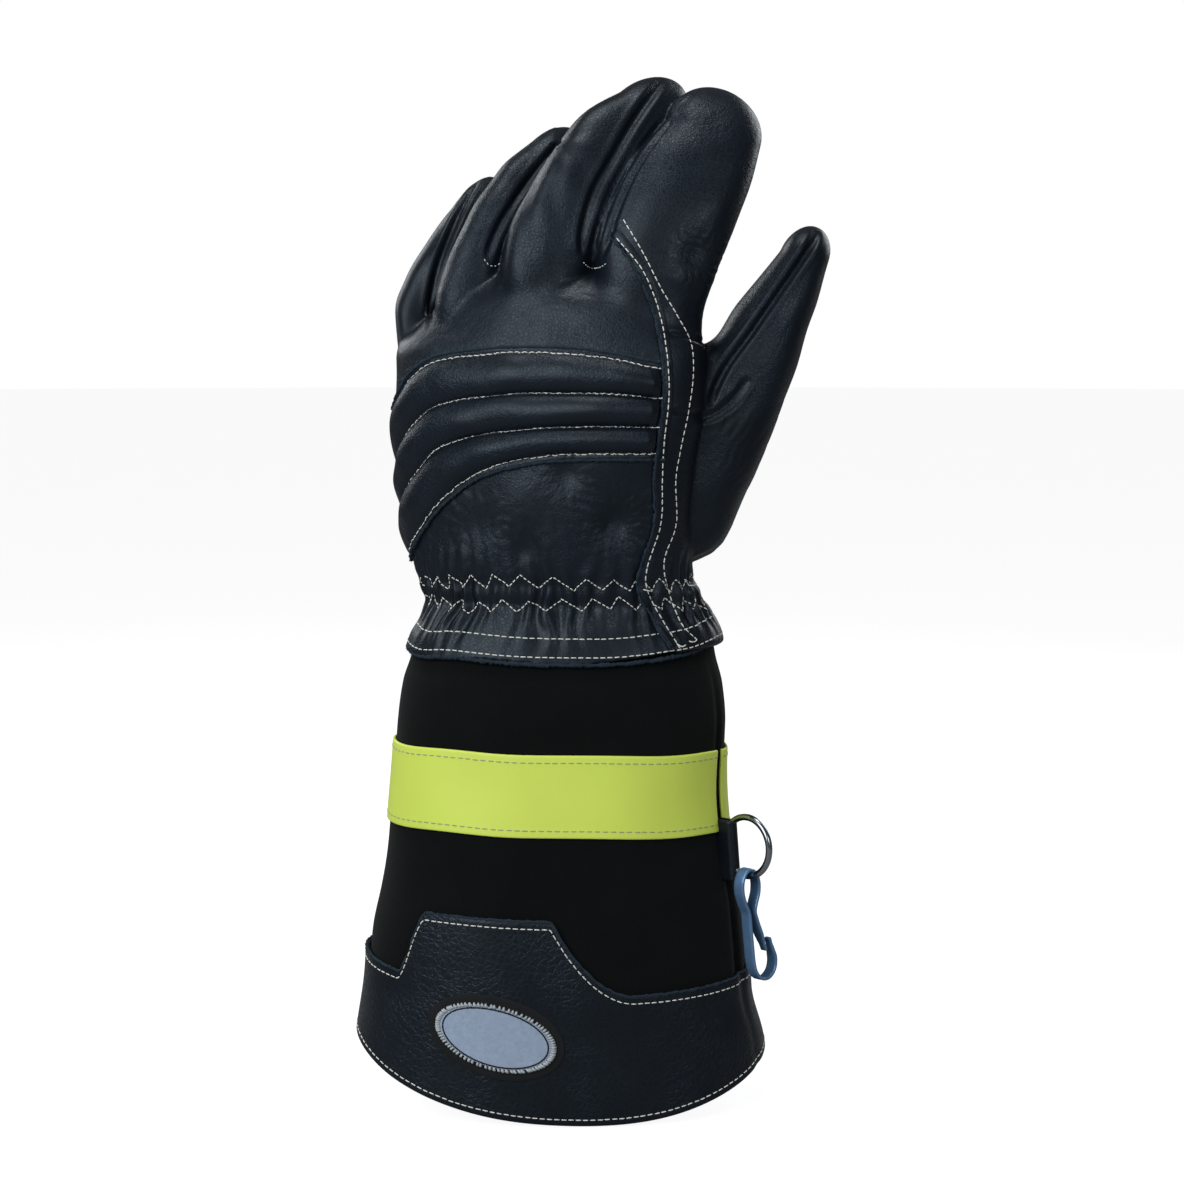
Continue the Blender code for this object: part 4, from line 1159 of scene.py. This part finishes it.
class GLOVE_OT_wrist_sewing(bpy.types.Operator):
    """Sew the two zigzag elastic rows and the skirt's two hem rows"""

    bl_idname = "glove.wrist_sewing"
    bl_label = "Wrist sewing"

    def execute(self, context):
        tree = hand_tree()
        rng = np.random.default_rng(12)
        zigzags = []
        count = ZIGZAG_TEETH
        for middle in ZIGZAG_ROWS:
            angle = np.linspace(0, 2 * math.pi, count + 1)
            drift = 0.8 * np.sin(angle * 3 + middle)
            tooth = np.where(np.arange(count + 1) % 2 == 0, 2.3, -2.3) * rng.uniform(0.75, 1.25, count + 1)
            level = (middle + drift + tooth) * MM
            fine = np.linspace(0, count, count * 12 + 1)
            level, angle = (np.interp(fine, np.arange(count + 1), row) for row in (level, angle))
            zigzags.append(lay_round(tree, level, angle, 0.0004))
        sew("zigzag_stitches", zigzags, pitch=0.0019, share=0.86)
        hems = []
        for rise in HEM_ROWS:
            angle = np.linspace(0, 2 * math.pi, 400)
            hems.append(lay_round(tree, skirt_level(angle) + rise * MM, angle))
        sew("skirt_stitches", hems)
        webs = [lay_seen(tree, line, 0.0003) for line in CROTCH_STITCHES]
        sew("crotch_stitches", webs, pitch=0.0015, share=0.6, radius=0.0002)
        angle = np.linspace(0, 2 * math.pi, 420, endpoint=False)
        level = skirt_level(angle) + 0.0007
        edge = body(level, angle, GAP + LEATHER - 0.0005) + rng.normal(0, 0.12 * MM, (420, 3))
        raw_cord("skirt_raw_edge", edge, 0.0008, 0.2, 0.6, 1.4, rng, True)
        outward = edge - body(level, angle)
        outward = unit(outward)
        fuzz("skirt_fuzz", edge, outward * 0.7 + np.array((0, 0, -0.8)), 1500, 1.5)
        for k, end in enumerate(LOOSE_ENDS):
            laid = lay_seen(tree, end)
            laid[:, :3] += laid[:, 3:] * (0.3 + 0.5 * np.linspace(0, 1, len(laid))[:, None]) * MM
            ride(tube(f"loose_end_{k}", laid[:, :3], sizes().thread, thread_material(), 6), "leather")
        return {"FINISHED"}


# The cuff


def ripple(level, angle):
    """How the cuff's suede waves in and out, with its side seam drawn in."""
    far = np.arctan2(np.sin(angle - SEAM_ANGLE), np.cos(angle - SEAM_ANGLE))
    seam = -1.6 * MM * np.exp(-((far / 0.05) ** 2)) + 0.6 * MM * np.exp(-((far / 0.16) ** 2))
    low = np.clip((-level - 0.02) / 0.03, 0, 1)
    seam = seam * np.clip((level + 0.165) / 0.03, 0.25, 1)
    return low * (seam + 0.55 * MM * waves(np.sin(angle) * 0.08, level + 0.04 * np.cos(angle), 0.07, 31))


def hem_level(angle):
    dip = np.where(np.cos(angle) > 0, HEM_DIP, HEM_DIP_PALM)
    return HEM_DIP - GAUNTLET_LENGTH - HEM_SAG - dip * np.abs(np.cos(angle)) ** 1.5


def trim_top(angle):
    sides = HEM_DIP - GAUNTLET_LENGTH + TRIM_HEIGHT
    x = body(sides, angle)[..., 0]
    up, down = (x - TAB_LEFT) / TAB_SLOPE_LEFT, (TAB_RIGHT - x) / TAB_SLOPE_RIGHT
    dip = TRIM_DIP * np.cos(angle)
    share = np.minimum(ease(up, 0, 1), np.clip(down, 0, 1) ** 1.9)
    return np.where(np.cos(angle) <= 0, sides, sides - dip + (TAB_RISE + dip) * share)


def cuff_band(name, angle, tops, bottoms, base, thickness, rows, finish, wraps):
    """A band round the cuff with rounded edges, following its ripples."""
    share = np.concatenate(([0, 0.004, 0.012], np.linspace(0.03, 0.97, rows), [0.988, 0.996, 1]))
    rounding = np.concatenate(([0.35, 0.8, 0.97], np.ones(rows), [0.97, 0.8, 0.35]))
    level = tops[None, :] + (bottoms - tops)[None, :] * share[:, None]
    out = base + thickness * rounding[:, None] + ripple(level, angle[None, :])
    outer = body(level, angle[None, :], out)
    inner = body(level, angle[None, :], base - 0.0002 + ripple(level, angle[None, :]))
    return wall(name, outer, inner, wraps, finish)


class GLOVE_OT_suede_cuff(bpy.types.Operator):
    """Build the suede gauntlet, with its side seam and soft waves"""

    bl_idname = "glove.suede_cuff"
    bl_label = "Suede cuff"

    def execute(self, context):
        angle = around(288)
        share = np.linspace(0, 1, 110)[:, None]
        level = -0.005 + (hem_level(angle)[None, :] + 0.005) * share
        wave = ripple(level, angle[None, :])
        outer = body(level, angle[None, :], wave)
        inner = body(level, angle[None, :], wave - 0.0020)
        ride(wall("cuff_suede", outer, inner, True, suede_material()), "suede", "suede_cuff")
        return {"FINISHED"}


class GLOVE_OT_tape(bpy.types.Operator):
    """Build the fluorescent band and its two rows of grey stitches"""

    bl_idname = "glove.tape"
    bl_label = "Reflective tape"

    def execute(self, context):
        angle = np.linspace(SEAM_ANGLE + TAPE_SLOT - 2 * math.pi, SEAM_ANGLE - TAPE_SLOT, 300)
        tops = np.full(300, -TAPE_DROP) + 0.25 * MM * np.sin(angle * 7)
        band = cuff_band(
            "tape_band", angle, tops, tops - TAPE_HEIGHT, GAP, TAPE_THICK, 26, tape_material(), False
        )
        ride(band, "reflective_tape", "reflective_tape")
        tree = shape_of(band)
        rows = [lay_round(tree, tops - inset, angle) for inset in (TAPE_INSET, TAPE_HEIGHT - TAPE_INSET)]
        grey = fibre_material("Grey thread", (0.33, 0.38, 0.24), 5000.0, 900.0, 0.2, 0.06, 0.7)
        sew("tape_stitches", rows, grey, "reflective_tape", pitch=0.0030, radius=0.00022)
        return {"FINISHED"}


class GLOVE_OT_trim(bpy.types.Operator):
    """Build the leather trim round the hem with its tab, raw edge and stitches"""

    bl_idname = "glove.trim"
    bl_label = "Cuff trim"

    def execute(self, context):
        count = 420
        angle = around(count) - math.pi
        tops, hems = trim_top(angle), hem_level(angle)
        finish = leather_material("Trim leather", 430.0, 0.7, 0.34, 0.9)
        trim = cuff_band("trim_leather", angle, tops, hems, GAP, TRIM_THICK, 46, finish, True)
        ride(trim, "leather", "cuff_trim")
        tree = shape_of(trim)
        rng = np.random.default_rng(17)
        level = tops - 0.0003
        edge = body(level, angle, GAP + 0.0011 + ripple(tops, angle)) + rng.normal(0, 0.09 * MM, (count, 3))
        outward = edge - body(level, angle)
        outward = unit(outward)
        fuzz("trim_fuzz", edge, outward * 0.8 + np.array((0, 0, 0.5)), 1200, 1.1)
        raw_cord("trim_raw_edge", edge, 0.0006, 0.2, 0.6, 1.4, rng, True)
        loop = np.append(angle, angle[0] + 2 * math.pi)
        rows = [np.append(tops, tops[0]) - TRIM_TOP_INSET, np.append(hems, hems[0]) + TRIM_HEM_INSET]
        sew("trim_stitches", [lay_round(tree, row, loop) for row in rows])
        return {"FINISHED"}


BADGE_HALF_WIDTH, BADGE_HALF_HEIGHT, BADGE_TURN = 0.0225, 0.0120, math.radians(-11)
BADGE_X, BADGE_DROP = -0.0219, 0.1612
BORDER_LOOPS = 84


def on_badge(share, at, rise, grow=0.0):
    """Points on the badge's oval, at a share of its size and a rise over the trim."""
    u = (share * BADGE_HALF_WIDTH + grow) * np.cos(at)
    v = (share * BADGE_HALF_HEIGHT + grow) * np.sin(at)
    x = BADGE_X + u * math.cos(BADGE_TURN) - v * math.sin(BADGE_TURN)
    level = u * math.sin(BADGE_TURN) + v * math.cos(BADGE_TURN) - BADGE_DROP
    base = GAP + TRIM_THICK
    angle = angle_at(level, x, base)
    return body(level, angle, base + rise + ripple(level, angle))


def oval(name, rim, grow, rise, finish):
    """A thin oval sheet with a rounded rim, on the trim."""
    at = around(160)
    rims = ((rim, 0), (rim, 0.6 * rise), (rim - 0.02, rise))
    rings = [on_badge(share, at, up, grow) for share, up in rims]
    rings += [on_badge(rim * s, at, rise, grow * s) for s in (0.9, 0.7, 0.45, 0.2)]
    return loft(name, rings, on_badge(0, np.array(0.0), rise), finish)


class GLOVE_OT_badge(bpy.types.Operator):
    """Build the bare woven badge with its overlocked border on a black backing"""

    bl_idname = "glove.badge"
    bl_label = "Badge"

    def execute(self, context):
        black = fibre_material("Black backing", (0.004, 0.005, 0.006), 2500.0, 200.0, 0.4, 0.15)
        ride(oval("badge_backing", 1.0, 0.0036, 0.0005, black), "woven_badge")
        cloth = fibre_material("Woven badge cloth", colours().badge, 1700.0, 500.0, 0.22, 0.12, 0.85)
        ride(oval("badge_cloth", 0.95, 0.0, 0.0010, cloth), "woven_badge", "badge")
        line = on_badge(0.885, np.linspace(0, 2 * math.pi, 201), 0.0010)[:-1]
        ride(tube("badge_inner_line", line, 0.00030, black, 6, True), "woven_badge")
        border = fibre_material("Badge border thread", (0.46, 0.50, 0.52), 4000.0, 500.0, 0.25, 0.06, 0.75)
        points, faces = [], []
        rng = np.random.default_rng(23)
        for k in range(BORDER_LOOPS):
            where = 2 * math.pi * (k + rng.normal(0, 0.12)) / BORDER_LOOPS
            path = np.array([
                on_badge(0.94 + 0.07 * t, np.array(where + 0.02 * t), 0.0006 + 0.0009 * math.sin(math.pi * t))
                for t in np.linspace(0, 1, 7)
            ])
            made = tube("loop", path, 0.00052 * rng.uniform(0.8, 1.05), border, 6)
            start = len(points)
            points += [tuple(v.co) for v in made.data.vertices]
            faces += [[start + i for i in p.vertices] for p in made.data.polygons]
            bpy.data.objects.remove(made, do_unlink=True)
        ride(mesh_object("badge_border", points, faces, border), "woven_badge")
        return {"FINISHED"}


# The strap, ring and hook

STRAP_ANGLE = math.radians(-45)
OUT = np.array((math.cos(STRAP_ANGLE), math.sin(STRAP_ANGLE), 0))
SIDE = np.array((-OUT[1], OUT[0], 0))
UP = np.array((0, 0, 1.0))
RING_RADIUS, RING_WIRE = 0.0112, 0.0013
STRAP_HOLE, STRAP_THICK, STRAP_TAIL, STRAP_LEAN = 0.0014, 0.0011, 0.0050, 0.10
HOOK_LENGTH, HOOK_WIDTH, HOOK_THICK, HOOK_SWING = 0.045, 0.0048, 0.0012, math.radians(-7)


class GLOVE_OT_hook(bpy.types.Operator):
    """Build the strap's fold, the steel ring and the bent snap hook"""

    bl_idname = "glove.hook"
    bl_label = "Strap, ring and hook"

    def execute(self, context):
        low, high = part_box("split_ring")
        middle = np.array((low + high) / 2)
        at = around(96)
        circle = middle + RING_RADIUS * (OUT * np.cos(at)[:, None] + UP * np.sin(at)[:, None])
        steel = steel_material("Dark polished steel", (0.30, 0.32, 0.35), 0.16)
        ride(tube("ring_wire", circle, RING_WIRE, steel, 14, True), "ring_steel", "split_ring")
        strap(middle)
        snap(middle)
        return {"FINISHED"}


def strap(middle):
    """The leather fold that holds the ring: two legs and the bend round its wire."""
    low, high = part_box("hook_strap")
    fold = middle - OUT * (RING_RADIUS - 0.0026)
    fold[2] = 0
    sheets = []
    for reach in (STRAP_HOLE + STRAP_THICK, STRAP_HOLE):
        half_turn = np.linspace(0, math.pi, 17)
        bend = [fold + SIDE * reach * math.cos(a) + OUT * reach * math.sin(a) for a in half_turn]
        legs = [[fold + SIDE * (s * reach) - OUT * d for d in np.linspace(0.0085, 0.0008, 7)] for s in (1, -1)]
        row = np.array(legs[0] + bend + legs[1][::-1])
        levels = np.linspace(high.z, low.z - STRAP_TAIL, 26)
        sheets.append(np.array([row + UP * level + OUT * (STRAP_LEAN * (high.z - level)) for level in levels]))
    finish = leather_material("Strap leather", 1000.0, 0.6, 0.08, 0.5)
    ride(wall("strap_fold", *sheets, False, finish), "leather", "hook_strap")


def snap(middle):
    """The hook: one flat strip with rounded edges, bent along its path."""
    wire = middle - UP * RING_RADIUS
    cos, sin = math.cos(HOOK_SWING), math.sin(HOOK_SWING)
    line = smooth_line(np.array(HOOK_PATH) * HOOK_LENGTH @ np.array(((cos, -sin), (sin, cos))), 0.0005)
    along = unit(np.gradient(line, axis=0))
    normal = np.stack((-along[:, 1], along[:, 0]), 1)
    edges = np.array((-1, -0.94, -0.8, -0.4, 0, 0.4, 0.8, 0.94, 1)) * HOOK_WIDTH / 2
    crown = np.array((0.35, 0.8, 1, 1, 1, 1, 1, 0.8, 0.35)) * HOOK_THICK / 2
    run = np.linspace(0, 1, len(line))
    taper = np.clip(run * 14, 0.35, 1) ** 0.5 * np.clip((1 - run) * 14, 0.35, 1) ** 0.5
    across = OUT * (edges[None, :] * taper[:, None])[..., None]
    faces = []
    for sign in (1, -1):
        flat = line[:, None] + sign * normal[:, None] * crown[None, :, None]
        faces.append(wire + SIDE * flat[..., :1] + UP * flat[..., 1:] + across)
    steel = steel_material("Blued spring steel", colours().hook, 0.34, 0.55)
    ride(wall("hook_strip", *faces, False, steel), "hook_steel", "snap_hook")


# The stage

PHOTO_PIXELS, PIXEL = 1184, 0.383 * MM
SENSOR = 36


def seen_only(tree, elsewhere, seen, target):
    """Gives a socket one value for the camera's own rays and another for the light's."""
    path = node(tree, "LightPath")
    tree.links.new(ranged(tree, path.outputs["Is Camera Ray"], elsewhere, seen), target)


def look(obj, place, aim):
    """Puts a light or camera in its place and turns it to a point."""
    obj.location = place
    obj.rotation_mode = "QUATERNION"
    obj.rotation_quaternion = (Vector(aim) - Vector(place)).to_track_quat("-Z", "Y")
    bpy.context.scene.collection.objects.link(obj)


class GLOVE_OT_stage(bpy.types.Operator):
    """Set the pale floor, the soft studio lights, the world and the camera"""

    bl_idname = "glove.stage"
    bl_label = "Stage"

    def execute(self, context):
        scene = context.scene
        floor_z = CAD_BOX[0].z - HEM_SAG - 0.0005
        at, radii = around(96), (0.001, 0.5, 2, 9)
        disc = np.array([[(r * math.cos(a), r * math.sin(a), floor_z) for a in at] for r in radii])
        glow = {"Specular IOR Level": 0.1, "Emission Color": (1, 1, 1, 1)}
        pale = fibre_material("Pale floor", (0.26, 0.26, 0.26), 300.0, 5.0, 0.01, 0.01, 0.8, glow)
        tree = pale.node_tree
        seen_only(tree, 0.04, 0.92, tree.nodes["Principled BSDF"].inputs["Emission Strength"])
        mesh_object("floor", disc.reshape(-1, 3), grid_faces(4, 96, True), pale)
        world = bpy.data.worlds.new("Studio")
        world.use_nodes = True
        back = world.node_tree.nodes["Background"]
        back.inputs["Color"].default_value = (1, 1, 1, 1)
        seen_only(world.node_tree, 0.10, 1.0, back.inputs["Strength"])
        scene.world = world
        scene.view_settings.view_transform = "Standard"
        for name, place, size, power, tint in LIGHTS:
            light = bpy.data.lights.new(name, "AREA")
            light.shape, light.size, light.energy, light.color = "DISK", size, power, tint
            look(bpy.data.objects.new(name, light), place, (0, 0, 0))
        camera = bpy.data.objects.new("camera", bpy.data.cameras.new("camera"))
        eye, aim = camera_eye(), Vector((14 * MM, 0, 3 * MM))
        look(camera, eye, aim)
        camera.data.sensor_width = SENSOR
        camera.data.lens = SENSOR * (aim - eye).length / (PHOTO_PIXELS * PIXEL)
        camera.data.clip_start, camera.data.clip_end = 0.05, 30
        scene.camera = camera
        return {"FINISHED"}


PIECES = (
    GLOVE_OT_leather_hand, GLOVE_OT_palm_strip, GLOVE_OT_knuckle_guard, GLOVE_OT_wrist_sewing,
    GLOVE_OT_suede_cuff, GLOVE_OT_tape, GLOVE_OT_trim, GLOVE_OT_badge, GLOVE_OT_hook, GLOVE_OT_stage,
)


class GLOVE_PT_pieces(bpy.types.Panel):
    """Sidebar panel that lists the glove's sizes, colours and pieces"""

    bl_label = "Firefighter glove"
    bl_idname = "GLOVE_PT_pieces"
    bl_space_type = "VIEW_3D"
    bl_region_type = "UI"
    bl_category = "Glove"

    def draw(self, context):
        for group in (sizes(), colours()):
            box = self.layout.box()
            for key in type(group).__annotations__:
                box.prop(group, key)
        for piece in PIECES:
            self.layout.operator(piece.bl_idname)


CLASSES = (GloveSizes, GloveColours, *PIECES, GLOVE_PT_pieces)


def register():
    for cls in CLASSES:
        bpy.utils.register_class(cls)
    bpy.types.Scene.glove_sizes = bpy.props.PointerProperty(type=GloveSizes)
    bpy.types.Scene.glove_colours = bpy.props.PointerProperty(type=GloveColours)


def unregister():
    del bpy.types.Scene.glove_colours
    del bpy.types.Scene.glove_sizes
    for cls in reversed(CLASSES):
        bpy.utils.unregister_class(cls)


def main():
    register()
    for piece in PIECES:
        group, name = piece.bl_idname.split(".")
        getattr(getattr(bpy.ops, group), name)()


if __name__ == "__main__":
    main()
